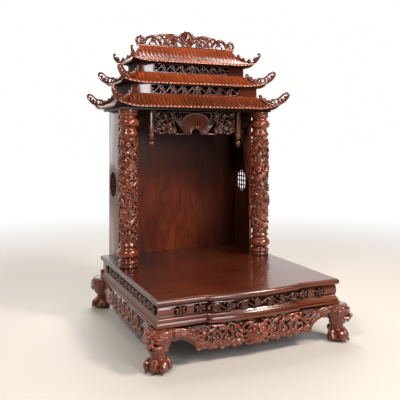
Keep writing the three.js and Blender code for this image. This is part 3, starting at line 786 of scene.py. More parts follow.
def trimUpright(piece, bottom, top):
    # sawn flat below and above
    only(piece)
    bpy.ops.object.mode_set(mode="EDIT")
    for z, normal in ((bottom, -1), (top, 1)):
        bpy.ops.mesh.select_all(action="SELECT")
        bpy.ops.mesh.bisect(plane_co=(0, 0, z), plane_no=(0, 0, normal), clear_outer=True, use_fill=True)
    bpy.ops.object.mode_set(mode="OBJECT")


corners = (("front_left", -1, -1), ("front_right", 1, -1), ("back_left", -1, 1), ("back_right", 1, 1))
for corner, sideX, sideY in corners:
    lionLeg("leg_" + corner, sideX, sideY)
print("legs carved")


hornLook = {"voxel": 1.3, "keep": 0.42}
curlHorn = {
    "rod": [(-92, 8, 0, 5.5), (-60, 4, 0, 7), (-32, -1, 0, 7.6), (-8, -3, 0, 7), (8, 3, 0, 6.6),
            (21, 13, 0, 6.2), (31, 26, 0, 5.6), (32, 35, 0, 5.2), (25, 39.5, 0, 5), (14, 37, 0, 4.8),
            (5, 30, 0, 4.6), (-5, 22, 0, 4.6), (-16, 19, 0, 4.6), (-28, 22, 0, 4.6), (-37, 22, 0, 4.8),
            (-37, 15, 0, 5)],
    "leaves": [(-26, 3, 19, 1.3, 4.8, 0.8), (-34, 4, 15, 1.9, 4.6, 0.4)],
    "curls": [(-9, 6, 5.5), (5, 12, 5.5), (19, 22, 5.5)],
    "crockets": [(-86, 11), (-68, 8), (-50, 6)],
}
spikeHorn = {
    "rod": [(-84, 4, 0, 5.5), (-56, 1, 0, 6.4), (-30, -1, 0, 7), (-6, -2, 0, 6.6), (8, 5, 0, 6),
            (18, 13, 0, 5.4), (24, 23, 0, 5), (24.5, 31, 0, 4.6), (20, 34, 0, 4.4), (16, 30, 0, 4)],
    "leaves": [(-2, 4, 16, 1.4, 4.4, 0.5)],
    "curls": [(10, 15, 6)],
    "crockets": [(-78, 7), (-54, 4), (-27, 4), (2, 7)],
}


def cornerHorn(tier, corner, sideX, sideY, horn):
    tier = tierShape(tier)
    node = tier["node"].replace("roof", "horn") + "_" + corner
    runX, runY = tier["eaveX"] - tier["neckX"] * mm, tier["eaveY"] - tier["neckY"] * mm
    away = Vector((sideX * runX, sideY * runY, 0)).normalized()
    beside = Vector((-away.y, away.x, 0))
    lip = tier["base"] + slopeLook["edge"] * mm
    tip = Vector((sideX * tier["eaveX"], tier["midY"] + sideY * tier["eaveY"], lip + tier["lift"] * mm))
    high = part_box(node)[1].z
    lines = [smoothLine(horn["rod"], 5)]
    for across, up, length, angle, thick, bend in horn["leaves"]:
        lines.append(leaf(across, up, length, angle, 0, thick, bend, 0))
    for across, up, size in horn["curls"]:
        lines.append(volute(across, up, size, 0.4, 1.1, 1, 0, 3.4, 2.8))
    for across, up in horn["crockets"]:
        lines.append(leaf(across - 3, up, 11, 2.5, 0, 5, -0.7, 0))
        lines.append(smoothLine([(across, up, 0, 4), (across, up + 8, 0, 5),
                                 (across + 1, up + 14, 0, 3.6)], 3))
        lines.append(leaf(across + 3, up, 11, 0.65, 0, 5, 0.7, 0))
        lines.append([(across - 9, up - 5, 0, 4), (across + 9, up - 6, 0, 4)])

    def spot(across, up, out):
        reach = -across * mm
        if reach > 0.004:
            # on the hip the stem follows the tiles
            t = min(reach / math.hypot(runX, runY), 1)
            lift = cornerLift(tier, tier["eaveX"] - t * runX, tier["eaveY"] - t * runY)
            ground = lip + (tier["top"] - lip) * climb(tier, t) + lift
            blend = min(1, reach / 0.03)
            z = tip.z * (1 - blend) + ground * blend + up * mm
        else:
            z = tip.z + up * mm
        spotOut = tip + away * across * mm + beside * out * mm
        return (spotOut.x, spotOut.y, min(z, high))

    piece = strands(node, lines, spot)
    fuse(piece, hornLook["voxel"], 0.4, 1, hornLook["keep"])
    return handOver(piece, node + "_carved", "carved_wood", darkCarved, node)


for tier in tiers:
    horn = spikeHorn if tier["node"] == "roof_upper" else curlHorn
    for corner, sideX, sideY in corners:
        cornerHorn(tier, corner, sideX, sideY, horn)
print("horns carved")


crownLook = {"thick": 1.36, "ring": 30, "innerRing": 19, "up": 37, "rayCount": 12, "voxel": 1.2,
             "keep": 0.36}


def ridgeCrown():
    low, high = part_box("roof_crown")
    midY = (low.y + high.y) / 2

    def place(across, up, out):
        return (across * mm, midY - out * mm, low.z + up * mm)

    half = [
        # open loop with a knob at the end
        smoothLine([(-184, 26, 0, 4.6), (-196, 33, 0, 4.6), (-209, 36, 0, 4.4), (-219, 29, 0, 4.6),
                    (-221, 18, 0, 4.8), (-213, 9, 0, 4.8), (-198, 8, 0, 4.6), (-186, 12, 0, 4.6)]),
        bead(-205, 39, 5, 0, 1), volute(-203, 20, 7, -1.2, 0.9, 1, 0, 3.6, 3),
        # tall arch with a scroll inside
        smoothLine([(-188, 6, 0, 4.6), (-184, 22, 0, 5), (-172, 36, 0, 5.4), (-155, 42, 0, 5.6),
                    (-138, 38, 0, 5.6), (-124, 26, 0, 5.6), (-113, 7, 0, 5.4)]),
        volute(-151, 22, 10, -0.6, 1.1, 1, 0, 4, 3.4), leaf(-168, 8, 14, 0.9, 0, 4.4, 0.4, 0),
        leaf(-134, 8, 15, 1.9, 0, 4.4, 0.5, 0),
        # crossing stems
        smoothLine([(-74, 6, 0, 5), (-86, 19, 1, 5), (-98, 33, 2, 5.2), (-111, 45, 2, 5.4),
                    (-126, 50, 2, 4.6)]),
        smoothLine([(-52, 46, 2, 5), (-67, 37, 2, 5), (-85, 27, 1, 5), (-100, 16, 0, 5), (-111, 6, 0, 5)]),
        smoothLine([(-29, 52, 1, 5), (-42, 46, 2, 5.4), (-56, 49, 3, 6), (-72, 52, 3, 6.2), (-88, 48, 3, 6),
                    (-98, 38, 2, 5)]),
        smoothLine([(-30, 26, 0, 4.8), (-43, 31, 0, 4.8), (-57, 28, 0, 4.8), (-68, 18, 0, 4.8),
                    (-75, 6, 0, 4.8)]),
        # leaves massed on the shoulder
        leaf(-126, 44, 12, 2.9, 2, 4.8, -0.5, 0), leaf(-114, 46, 11, 2.6, 2, 5, -0.7, 0),
        leaf(-102, 47, 11, 2.5, 2, 5, -0.8, 0), leaf(-91, 49, 10, 2.4, 3, 5, -0.9, 0),
        leaf(-79, 50, 10, 2.5, 3, 5, -1.0, 0), leaf(-66, 49, 10, 2.4, 3, 4.8, -1.0, 0),
        leaf(-53, 48, 11, 2.1, 3, 4.6, -0.9, 0), leaf(-41, 46, 10, 1.5, 2, 4.4, 0.6, 0),
        leaf(-118, 30, 14, 0.4, 2, 4.4, 0.8, 0), leaf(-96, 22, 12, 2.8, 1, 4.2, -0.6, 0),
        leaf(-70, 32, 12, 0.3, 1, 4.2, 0.6, 0), volute(-88, 36, 7, 2.2, 1, -1, 3, 4, 3),
        volute(-104, 40, 8, 0.5, 1.1, 1, 4, 4.2, 3), volute(-72, 41, 8, 2.5, 1.1, -1, 4, 4.2, 3),
        volute(-47, 16, 8, 1.2, 1.1, 1, 0, 3.8, 3), leaf(-92, 8, 12, 1.7, 0, 4.4, 0, 0),
        leaf(-60, 8, 10, 1.3, 0, 4, 0, 0),
    ]
    whole = [2 * math.pi * k / 36 for k in range(37)]
    middle = crownLook["up"]
    boss = [[(size * math.cos(a), middle + size * math.sin(a), out, thick) for a in whole]
            for size, out, thick in ((crownLook["ring"], 1, 6), (crownLook["innerRing"], 3, 4.2))]
    for k in range(crownLook["rayCount"]):
        angle = 2 * math.pi * (k + 0.5) / crownLook["rayCount"]
        boss.append([(r * math.cos(angle), middle + r * math.sin(angle), 1, 4.2) for r in (17, 32)])
        if math.sin(angle) > -0.3:
            boss.append(bead(34 * math.cos(angle), 36 + 34 * math.sin(angle), 5.6, 1, 0.8))
    half = [[(across, up, out * 0.7, radius * crownLook["thick"]) for across, up, out, radius in line]
            for line in half]
    lines = half + flipped(half) + boss
    rail = roundedBoard("rail", (low.x + 0.002, midY - 0.0078, low.z),
                        (high.x - 0.002, midY + 0.0078, low.z + 0.0065))
    deselect()
    bpy.ops.mesh.primitive_uv_sphere_add(segments=28, ring_count=16, radius=0.018,
                                         location=(0, midY, low.z + 0.038))
    disc = bpy.context.object
    bpy.ops.transform.resize(value=(1, 0.52, 1))
    crown = joinAll([rail, disc, strands("crown", lines, place)])
    fuse(crown, crownLook["voxel"], 0.4, 1, crownLook["keep"])
    trimUpright(crown, low.z, high.z)
    return handOver(crown, "roof_crown_carved", "carved_wood", darkCarved, "roof_crown")


ridgeCrown()
print("crown carved")


standLook = {"halfW": 340, "halfD": 360, "break": 172, "breakOut": 9, "bow": 12, "bowSteps": 14}
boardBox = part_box("base_board")
standShift = boardBox[1].y / mm - standLook["halfD"]


def bowOf(across):
    # how far the front stands forward there
    reach = abs(across) / standLook["break"]
    return standLook["breakOut"] + standLook["bow"] * (1 - reach * reach) if reach < 1 else 0


def frontLine(inset):
    half = standLook["halfW"] - inset
    front = -standLook["halfD"] + inset + standShift
    middle = standLook["break"] - inset
    ogee = [(-middle - 5, front), (-middle - 2, front - standLook["breakOut"] * 0.12),
            (-middle + 1, front - standLook["breakOut"] * 0.5),
            (-middle + 4, front - standLook["breakOut"] * 0.88)]
    line = [(-half, front)] + ogee
    for i in range(standLook["bowSteps"] + 1):
        t = 2 * i / standLook["bowSteps"] - 1
        line.append(((middle - 8) * t, front - standLook["breakOut"] - standLook["bow"] * (1 - t * t)))
    return line + [(-x, y) for x, y in reversed(ogee)] + [(half, front)]


def railAlongFront(node, profile, inner, floorZ):
    # profile: (up, inset); the rail follows the broken and bowed front
    rings = []
    for i in range(len(frontLine(0))):
        ring = [(*frontLine(inset)[i], floorZ + up) for up, inset in profile]
        x, y = frontLine(inner)[i]
        ring += [(x, y, floorZ + profile[-1][0]), (x, y, floorZ + profile[0][0])]
        rings.append([(x * mm, y * mm, z * mm) for x, y, z in ring])
    return loft(node, rings)


def railAlongSide(node, profile, inner, floorZ, side):
    rings = []
    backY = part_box(node)[1].y / mm
    for end in (0, 1):
        ring = []
        for up, inset in profile + [(profile[-1][0], inner), (profile[0][0], inner)]:
            y = -standLook["halfD"] + inset + standShift + 0.3 if end == 0 else backY
            ring.append((side * (standLook["halfW"] - inset) * mm, y * mm, (floorZ + up) * mm))
        rings.append(ring)
    return loft(node, rings)


def crispEdges(piece, width=0.5, angle=28):
    applyModifier(piece, "arris", "BEVEL", width=width * mm, segments=2, limit_method="ANGLE",
                  angle_limit=math.radians(angle))
    only(piece)
    bpy.ops.object.shade_smooth_by_angle(angle=math.radians(40))


def rosette(across, up, size, out=0, wide=1, petals=6):
    # a flower of leaves, drawn out sideways by wide
    lines = [bead(0, 0, size * 0.28, out + 3)]
    for k in range(petals):
        angle = 2 * math.pi * (k + 0.5) / petals
        reach = size * 0.2
        lines.append(leaf(reach * math.cos(angle), reach * math.sin(angle), size * 0.82, angle, out,
                          size * 0.34, 0.3, 3))
    return [[(across + a * wide, up + b, c, radius) for a, b, c, radius in line] for line in lines]


def leafScroll(start, end, up, height, pitch, thick, out=0, seed=1):
    # a running stem with a volute in every wave, leaves springing from both sides
    chance = random.Random(seed)
    lines, stem = [], []
    count = max(1, round((end - start) / pitch))
    step = (end - start) / count
    for i in range(count * 12 + 1):
        across = start + (end - start) * i / (count * 12)
        stem.append((across, up + height * 0.32 * math.sin((across - start) / step * math.pi), out,
                     thick * 0.9))
    lines.append(stem)
    for i in range(count):
        middle = start + step * (i + 0.5)
        way = 1 if i % 2 == 0 else -1
        lines.append(volute(middle, up - way * height * 0.08, height * 0.36, way * 1.6, 1.35, -way,
                            out + 1.5, thick, thick * 0.6, 1))
        for k in range(5):
            angle = chance.uniform(-0.5, 0.5) + (k - 2) * 0.55 + (0 if k % 2 else math.pi)
            lines.append(leaf(middle + (k - 2) * step * 0.17,
                              up + way * height * 0.22 * (1 if k % 2 else -1),
                              height * chance.uniform(0.3, 0.45), angle, out + 1, thick * 0.85,
                              chance.uniform(-0.9, 0.9), 2.5))
    return lines


boardEdge = [(0, 30), (0, 12), (0, 11), (0.5, 8.6), (2, 7.2), (2.8, 7), (3.2, 4.6), (4.4, 2.6), (6.6, 1),
             (9.4, 0.1), (12.6, 0), (15.8, 0.7), (18.6, 2.2), (20.6, 4.6), (21.7, 7.6), (22, 10), (22, 11),
             (22, 40)]
boardZ = boardBox[0].z / mm
rings = []
for up, inset in boardEdge:
    plan = frontLine(inset) + [(standLook["halfW"] - inset, standLook["halfD"] + standShift),
                               (-standLook["halfW"] + inset, standLook["halfD"] + standShift)]
    rings.append([(x * mm, y * mm, (boardZ + up) * mm) for x, y in plan])
board = loft("base_board", rings)
only(board)
bpy.ops.object.shade_smooth_by_angle(angle=math.radians(35))
handOver(board, "base_board_moulded", "lacquered_wood", boardLacquer, "base_board")

friezeProfile = [(0, 12.5), (1.5, 10), (4, 9.2), (5, 9.9), (6, 9.2), (12, 8.2), (18, 7.8), (24, 8.2),
                 (30, 9.2), (31, 9.9), (32, 9.2), (34.4, 10), (36, 12.5)]
friezeLook = {"bay": 214, "bayLow": 4, "bayHigh": 32.5, "rosettes": [-260, -192, 192, 260],
              "rosetteSize": 17, "ovals": [-260, 260], "ovalHalf": 14.2, "ovalSpread": 8,
              "sideRosettes": [-312, 268], "sideBay": (-285, 240), "inner": 24, "wide": 1.35,
              "paintedShadeSheet": (20.5, 23.5), "voxel": 1.0, "keep": 0.36, "sideVoxel": 1.1, "sideKeep": 0.34}
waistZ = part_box("waist_front")[0].z / mm
waistMid = waistZ + 18


def frontFrieze():
    rail = railAlongFront("waist_front", friezeProfile, friezeLook["inner"], waistZ)
    front = -standLook["halfD"] + standShift
    bay = friezeLook["bay"]
    window = ((-bay * mm, (front - 60) * mm, (waistZ + friezeLook["bayLow"]) * mm),
              (bay * mm, (front + 60) * mm, (waistZ + friezeLook["bayHigh"]) * mm))
    spread = friezeLook["ovalSpread"]
    ovals = [(((x + way * spread) * mm, front * mm, (waistMid + 0.25) * mm), friezeLook["ovalHalf"] * mm)
             for x in friezeLook["ovals"] for way in (-1, 0, 1)]
    cutBays(rail, [window], ovals, "Y", 28)
    crispEdges(rail)
    # painted shade: a dark sheet behind the frieze's carving stands in for the shade inside the stand
    near, far = friezeLook["paintedShadeSheet"]
    paintedShadeSheet = railAlongFront("waist_front_shade_sheet", [(1.5, near), (34.5, near)], far, waistZ)
    handOver(paintedShadeSheet, "waist_front_shade_sheet", "lacquered_wood", paintedShadeWood, "waist_front")

    def place(across, up, out):
        return (across * mm, (front + 14 - bowOf(across) - out) * mm, (waistMid + up) * mm)

    lines = leafScroll(-170, 170, 0, 33, 50, 4.6, 4, 5)
    lines += rosette(0, 0, 12, 5)
    for x in friezeLook["rosettes"]:
        lines += rosette(x, 0, friezeLook["rosetteSize"], 5, friezeLook["wide"])
        lines += [[(x - 19, 0, -2, 3), (x + 19, 0, -2, 3)], [(x, -17, -2, 3), (x, 17, -2, 3)]]
    carving = strands("frieze_carving", lines, place)
    fuse(carving, friezeLook["voxel"], 0.4, 1, friezeLook["keep"])
    handOver(rail, "waist_front_rail", "lacquered_wood", friezeLacquer, "waist_front")
    handOver(carving, "waist_front_carving", "carved_wood", paintedShadeCarved, "waist_front")


def sideFrieze(node, side):
    rail = railAlongSide(node, friezeProfile, friezeLook["inner"], waistZ, side)
    start, end = friezeLook["sideBay"]
    wall = side * standLook["halfW"]
    window = (((wall - 60) * mm, (start + standShift) * mm, (waistZ + friezeLook["bayLow"]) * mm),
              ((wall + 60) * mm, (end + standShift) * mm, (waistZ + friezeLook["bayHigh"]) * mm))
    ovals = [((wall * mm, (y + way * friezeLook["ovalSpread"] + standShift) * mm, (waistMid + 0.25) * mm),
              friezeLook["ovalHalf"] * mm) for y in friezeLook["sideRosettes"] for way in (-1, 0, 1)]
    cutBays(rail, [window], ovals, "X", 28)
    crispEdges(rail)
    # painted shade: a dark sheet behind the frieze's carving stands in for the shade inside the stand
    near, far = friezeLook["paintedShadeSheet"]
    paintedShadeSheet = railAlongSide(node, [(1.5, near), (34.5, near)], far, waistZ, side)
    handOver(paintedShadeSheet, node + "_shade_sheet", "lacquered_wood", paintedShadeWood, node)

    def place(across, up, out):
        return ((wall - side * 13 + side * out) * mm, (across + standShift) * mm, (waistMid + up) * mm)

    lines = leafScroll(start + 2, end - 2, 0, 31, 44, 4.2, 2, 9)
    for y in friezeLook["sideRosettes"]:
        lines += rosette(y, 0, friezeLook["rosetteSize"], 4, friezeLook["wide"])
        lines += [[(y - 17, 0, -2, 3), (y + 17, 0, -2, 3)]]
    carving = strands("frieze_carving", lines, place)
    fuse(carving, friezeLook["sideVoxel"], 0.4, 1, friezeLook["sideKeep"])
    handOver(rail, node + "_rail", "lacquered_wood", friezeLacquer, node)
    handOver(carving, node + "_carving", "carved_wood", paintedShadeCarved, node)


frontFrieze()
sideFrieze("waist_left", -1)
sideFrieze("waist_right", 1)

stepProfile = [(0, 3), (0.6, 0.6), (2.5, -0.7), (5.5, -1), (8.4, -0.5), (9.8, 1.2), (10.4, 3.2),
               (11.6, 3.6), (12.2, 2.2), (14, 1.6), (16, 2.2), (17.2, 4.2), (18.2, 5), (18.8, 4),
               (20.6, 3.6), (22.4, 4.6), (23.6, 6.8), (25, 7.6), (26.4, 8), (28, 9.6), (29.8, 11)]
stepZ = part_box("moulding_front")[0].z / mm
step = railAlongFront("moulding_front", stepProfile, 30, stepZ)
only(step)
bpy.ops.object.shade_smooth_by_angle(angle=math.radians(35))
handOver(step, "moulding_front_stepped", "lacquered_wood", railLacquer, "moulding_front")
for node, side in (("moulding_left", -1), ("moulding_right", 1)):
    step = railAlongSide(node, stepProfile, 30, stepZ, side)
    only(step)
    bpy.ops.object.shade_smooth_by_angle(angle=math.radians(35))
    handOver(step, node + "_stepped", "lacquered_wood", sideRailLacquer, node)
print("stand rails run")


maskLook = {
    "depth": 0.84,
    "lines": [
        [(4, 102, 28, 6), (14, 108, 28, 6.5), (26, 106, 24, 6), (36, 98, 18, 4.5)],
        [(12, 96, 26, 6.4), (17, 94, 28, 7), (22, 94, 25, 6.4)],
        [(4, 86, 34, 6), (10, 82, 34, 7.5), (20, 80, 30, 7), (32, 82, 24, 6), (42, 90, 16, 4)],
        [(5, 72, 30, 5), (16, 68, 29, 5.4), (28, 70, 24, 5), (38, 76, 18, 4)],
        [(12, 74, 29, 3), (13, 66, 30, 2.4), (13, 60, 29, 1)],
        [(20, 114, 22, 5), (34, 116, 20, 5.4), (46, 110, 15, 5), (52, 100, 12, 4), (46, 96, 13, 3)],
        [(38, 92, 18, 5), (50, 88, 14, 5.4), (60, 92, 10, 4.6), (66, 102, 7, 3.4)],
        [(36, 78, 18, 5), (48, 72, 14, 5.2), (58, 74, 10, 4.6), (64, 84, 8, 3.2)],
        [(30, 64, 18, 5), (42, 58, 14, 5), (52, 60, 10, 4.4), (58, 68, 7, 3)],
        [(16, 56, 20, 5.4), (26, 48, 16, 5), (38, 48, 12, 4), (44, 54, 10, 3)],
        [(4, 58, 24, 5), (8, 50, 20, 4.6), (6, 43, 16, 3)],
    ],
    "middle": [[(0, 112, 26, 6), (0, 100, 31, 7), (0, 90, 36, 8.5), (0, 85, 37, 9)],
               [(-12, 64, 24, 4), (0, 61, 26, 5), (12, 64, 24, 4)]],
}


frontApronLook = {"leaves": 56, "scaleRows": 9, "voxel": 1.5, "keep": 0.34}


def frontApron():
    front = (-standLook["halfD"] - 4 + standShift)
    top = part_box("apron_front")[1].z

    def place(across, up, out):
        return (across * mm, (front - out) * mm, up * mm)

    half = [
        # scaled arch that springs from the leg
        smoothLine([(-290, 113, 2, 9), (-270, 108, 5, 11), (-248, 102, 7, 11), (-230, 92, 7, 10),
                    (-216, 78, 6, 8.5), (-208, 64, 5, 7)]),
        smoothLine([(-288, 122, 3, 5), (-262, 120, 4, 5.5), (-236, 112, 5, 5.5), (-214, 96, 5, 5),
                    (-200, 80, 4, 4.5), (-190, 66, 3, 4)]),
        # cloud puffs under the arch's foot and along the lower edge
        volute(-206, 58, 12, 2.4, 1.3, -1, 5, 6, 3.4, 2), volute(-186, 60, 11, 0.4, 1.3, 1, 6, 5.6, 3.2, 2),
        volute(-168, 55, 11, 2.8, 1.3, -1, 6, 5.6, 3.2, 2),
        volute(-148, 57, 12, 0.2, 1.3, 1, 6, 5.8, 3.2, 2),
        volute(-127, 52, 12, 2.6, 1.3, -1, 6, 5.8, 3.2, 2), volute(-104, 56, 11, 0.4, 1.3, 1, 5, 5.2, 3, 2),
        volute(-82, 51, 11, 2.8, 1.3, -1, 5, 5.2, 3, 2), volute(-60, 54, 10, 0.4, 1.3, 1, 5, 5, 3, 2),
        # main scrolls
        smoothLine([(-196, 78, 3, 6), (-182, 94, 5, 6.5), (-164, 104, 6, 6.5), (-144, 102, 6, 6.5),
                    (-130, 90, 6, 6), (-128, 76, 6, 5.6), (-138, 68, 5, 5), (-150, 72, 5, 4.6),
                    (-152, 82, 5, 4.4)]),
        smoothLine([(-160, 118, 2, 5), (-138, 116, 4, 5.6), (-116, 112, 5, 6), (-98, 102, 6, 6.4),
                    (-88, 88, 6, 6), (-90, 74, 6, 5.4), (-102, 68, 5, 5), (-112, 76, 5, 4.4),
                    (-108, 86, 5, 4)]),
        smoothLine([(-96, 118, 2, 5), (-80, 114, 4, 5.4), (-66, 104, 5, 5.4), (-58, 92, 5, 5),
                    (-60, 78, 5, 4.6), (-70, 72, 4, 4), (-76, 80, 4, 3.6)]),
        leaf(-236, 116, 26, 0.2, 4, 5, -0.6, 2), leaf(-198, 90, 26, 1.1, 5, 5, -0.8, 2),
        leaf(-178, 72, 24, 0.7, 5, 5.4, 0.8, 3), leaf(-170, 88, 20, -0.8, 5, 4.6, 0.8, 2),
        leaf(-140, 112, 24, 2.8, 4, 4.8, 0.5, 2), leaf(-120, 66, 22, 1.2, 5, 5, -0.8, 2),
        leaf(-112, 100, 24, 2.5, 5, 4.8, 0.7, 2), leaf(-84, 64, 22, 1.3, 5, 4.8, 0.6, 2),
        leaf(-74, 96, 20, 2.2, 5, 4.6, -0.6, 2), leaf(-66, 112, 18, 0.3, 4, 4.6, -0.4, 2),
        leaf(-208, 112, 22, -0.2, 4, 4.6, -0.5, 2), leaf(-184, 118, 26, -0.1, 3, 4.6, 0.2, 2),
    ]
    chance = random.Random(23)
    for k in range(frontApronLook["leaves"]):
        across = chance.uniform(-214, -52)
        low = 56 if across > -200 else 84
        half.append(leaf(across, chance.uniform(low, 114), chance.uniform(10, 17), chance.uniform(0, 6.28),
                         chance.uniform(3, 7), 3.6, chance.uniform(-1.2, 1.2), 2.5))
    # rows of scales on the arch
    for i in range(frontApronLook["scaleRows"]):
        t = i / (frontApronLook["scaleRows"] - 1)
        for k in (-1, 0, 1):
            out = 16 if k == 0 else 14
            half.append(bead(-286 + 66 * t + 3 * (k % 2), 111 - 22 * t * t + 6.5 * k, 3.4, out, 0.5))
    mask = []
    for hand in (-1, 1):
        for points in maskLook["lines"]:
            mask.append(smoothLine([(hand * across, up, out * maskLook["depth"], radius)
                                    for across, up, out, radius in points], 5))
    for points in maskLook["middle"]:
        mask.append(smoothLine([(across, up, out * maskLook["depth"], radius)
                                for across, up, out, radius in points]))
    body = joinAll([looseCopy("apron_front"), strands("apron", half + flipped(half) + mask, place)])
    fuse(body, frontApronLook["voxel"], 0.45, 1, frontApronLook["keep"])
    trimUpright(body, 0.02, top)
    return handOver(body, "apron_front_carved", "carved_wood", carved, "apron_front")


sideApronLook = {
    "cheek": [(-304, 125), (-304, 84), (-288, 82), (-272, 74), (-258, 60), (-242, 53), (-224, 51),
              (-207, 55), (-194, 66), (-190, 82), (-198, 96), (-216, 106), (-244, 112), (-262, 125)],
    "plate": (-12, 1), "scrollEnd": 184, "pitch": 50, "voxel": 1.6, "keep": 0.36,
    "puffs": [(-172, 68, 13), (-142, 60, 10), (-113, 66, 14), (-82, 58, 10), (-52, 66, 13), (-22, 60, 11)],
    "rim": [(-192, 76), (-172, 55), (-150, 62), (-126, 54), (-104, 56), (-82, 50), (-62, 58), (-40, 54),
            (-20, 52), (0, 58)],
}


def sideApron(node, side):
    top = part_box(node)[1].z
    wall = side * (standLook["halfW"] - 3)

    def place(across, up, out):
        return ((wall + side * out) * mm, (across + standShift) * mm, up * mm)

    cheek = sideApronLook["cheek"]
    plates = []
    for way in (-1, 1):
        rings = [[place(way * across, up, out) for across, up in cheek] for out in sideApronLook["plate"]]
        plates.append(loft("cheek", rings))
    end = sideApronLook["scrollEnd"]
    half = [
        # rolled lip under the cheek, a curl where it ends
        smoothLine([(across, up, 0, 5.4) for across, up in cheek[1:9]]),
        volute(-196, 74, 15, 1.9, 1.2, 1, 2, 6, 4, 1), [(-304, 121, -1, 5), (0, 121, -1, 5)],
        # a waving rim below the scrolls
        smoothLine([(across, up, 0, 4.6) for across, up in sideApronLook["rim"]], 4),
    ]
    for across, up, size in sideApronLook["puffs"]:
        hand = 1 if size > 11 else -1
        half.append(volute(across, up, size, 2.2 + across * 0.05, 1.3, hand, 3, 5.4, 3.4, 1))
    scrolls = leafScroll(-end, end, 92, 58, sideApronLook["pitch"], 5.8, 3, 13)
    body = joinAll(plates + [strands("apron", half + flipped(half) + scrolls, place)])
    fuse(body, sideApronLook["voxel"], 0.45, 1, sideApronLook["keep"])
    trimUpright(body, 0.02, top)
    return handOver(body, node + "_carved", "carved_wood", carved, node)


frontApron()
sideApron("apron_left", -1)
sideApron("apron_right", 1)
print("aprons carved")


fretLook = {"back": 2.6, "flat": 0.4, "voxel": 0.9, "keep": 0.32}


def pierced(node, halfSlot, count):
    low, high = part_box(node)
    midZ, tall = (low.z + high.z) / 2, (high.z - low.z) / mm
    neckBoard = roundedBoard(node, low, high, 0.8, 2)
    slotHalf = tall * 0.42
    cutBays(neckBoard, [((-halfSlot * mm, low.y - 0.02, midZ - slotHalf * mm),
                         (halfSlot * mm, high.y + 0.02, midZ + slotHalf * mm))])
    only(neckBoard)
    bpy.ops.object.shade_smooth_by_angle(angle=math.radians(30))

    def place(across, up, out):
        return (across * mm, low.y + (fretLook["back"] - out) * mm, midZ + up * mm)

    cell, tall = halfSlot * 0.97 / count, slotHalf
    wave = [(-0.52, -0.95), (-0.3, -0.6), (-0.08, 0.1), (0.1, 0.66), (0.28, 0.8), (0.4, 0.5), (0.36, 0.1),
            (0.22, 0.02), (0.15, 0.28), (0.23, 0.42)]
    foot = [(-0.3, -0.6), (-0.52, -0.55), (-0.66, -0.2), (-0.58, 0.12), (-0.44, 0.08), (-0.42, -0.14)]
    half = []
    for i in range(count):
        middle = -halfSlot + cell * (i + 0.62)
        for curve in (wave, foot):
            half.append(smoothLine([(middle + a * cell, b * tall, 0, 3.2) for a, b in curve], 6))
        half.append(leaf(middle + cell * 0.12, -tall * 0.9, cell * 0.34, 0.5, 0, 3, 0.9, 0))
    middle = [volute(-6, 0, 6, 3.1, 1, 1, 0, 3.4, 2.4), volute(6, 0, 6, 0, 1, -1, 0, 3.4, 2.4),
              [(0, -slotHalf - 2, 0, 3), (0, slotHalf + 2, 0, 3)]]
    edge = [[(-halfSlot - 2, way * slotHalf, 0, 1.8), (halfSlot + 2, way * slotHalf, 0, 1.8)]
            for way in (-1, 1)]
    fret = strands("fret", half + flipped(half) + middle + edge, place)
    fuse(fret, fretLook["voxel"], 0.4, 1, fretLook["keep"])
    # the fretwork is pressed flat, a little behind the board's face
    bpy.ops.object.mode_set(mode="EDIT")
    bpy.ops.mesh.select_all(action="SELECT")
    bpy.ops.transform.resize(value=(1, fretLook["flat"], 1),
                             center_override=(0, low.y + fretLook["back"] * mm, 0))
    bpy.ops.object.mode_set(mode="OBJECT")
    handOver(neckBoard, node + "_board", "lacquered_wood", friezeLacquer, node)
    handOver(fret, node + "_fret", "carved_wood", friezeLacquer, node)


pierced("neck_lower_front", 196, 4)
pierced("neck_upper_front", 166, 4)
print("necks pierced")


valanceLook = {"leaves": 60, "fanHalf": 60, "fanTall": 39, "fanUp": -47, "archHalf": 24, "archUp": -93,
               "voxel": 1.15, "keep": 0.34, "fanKeep": 0.3}


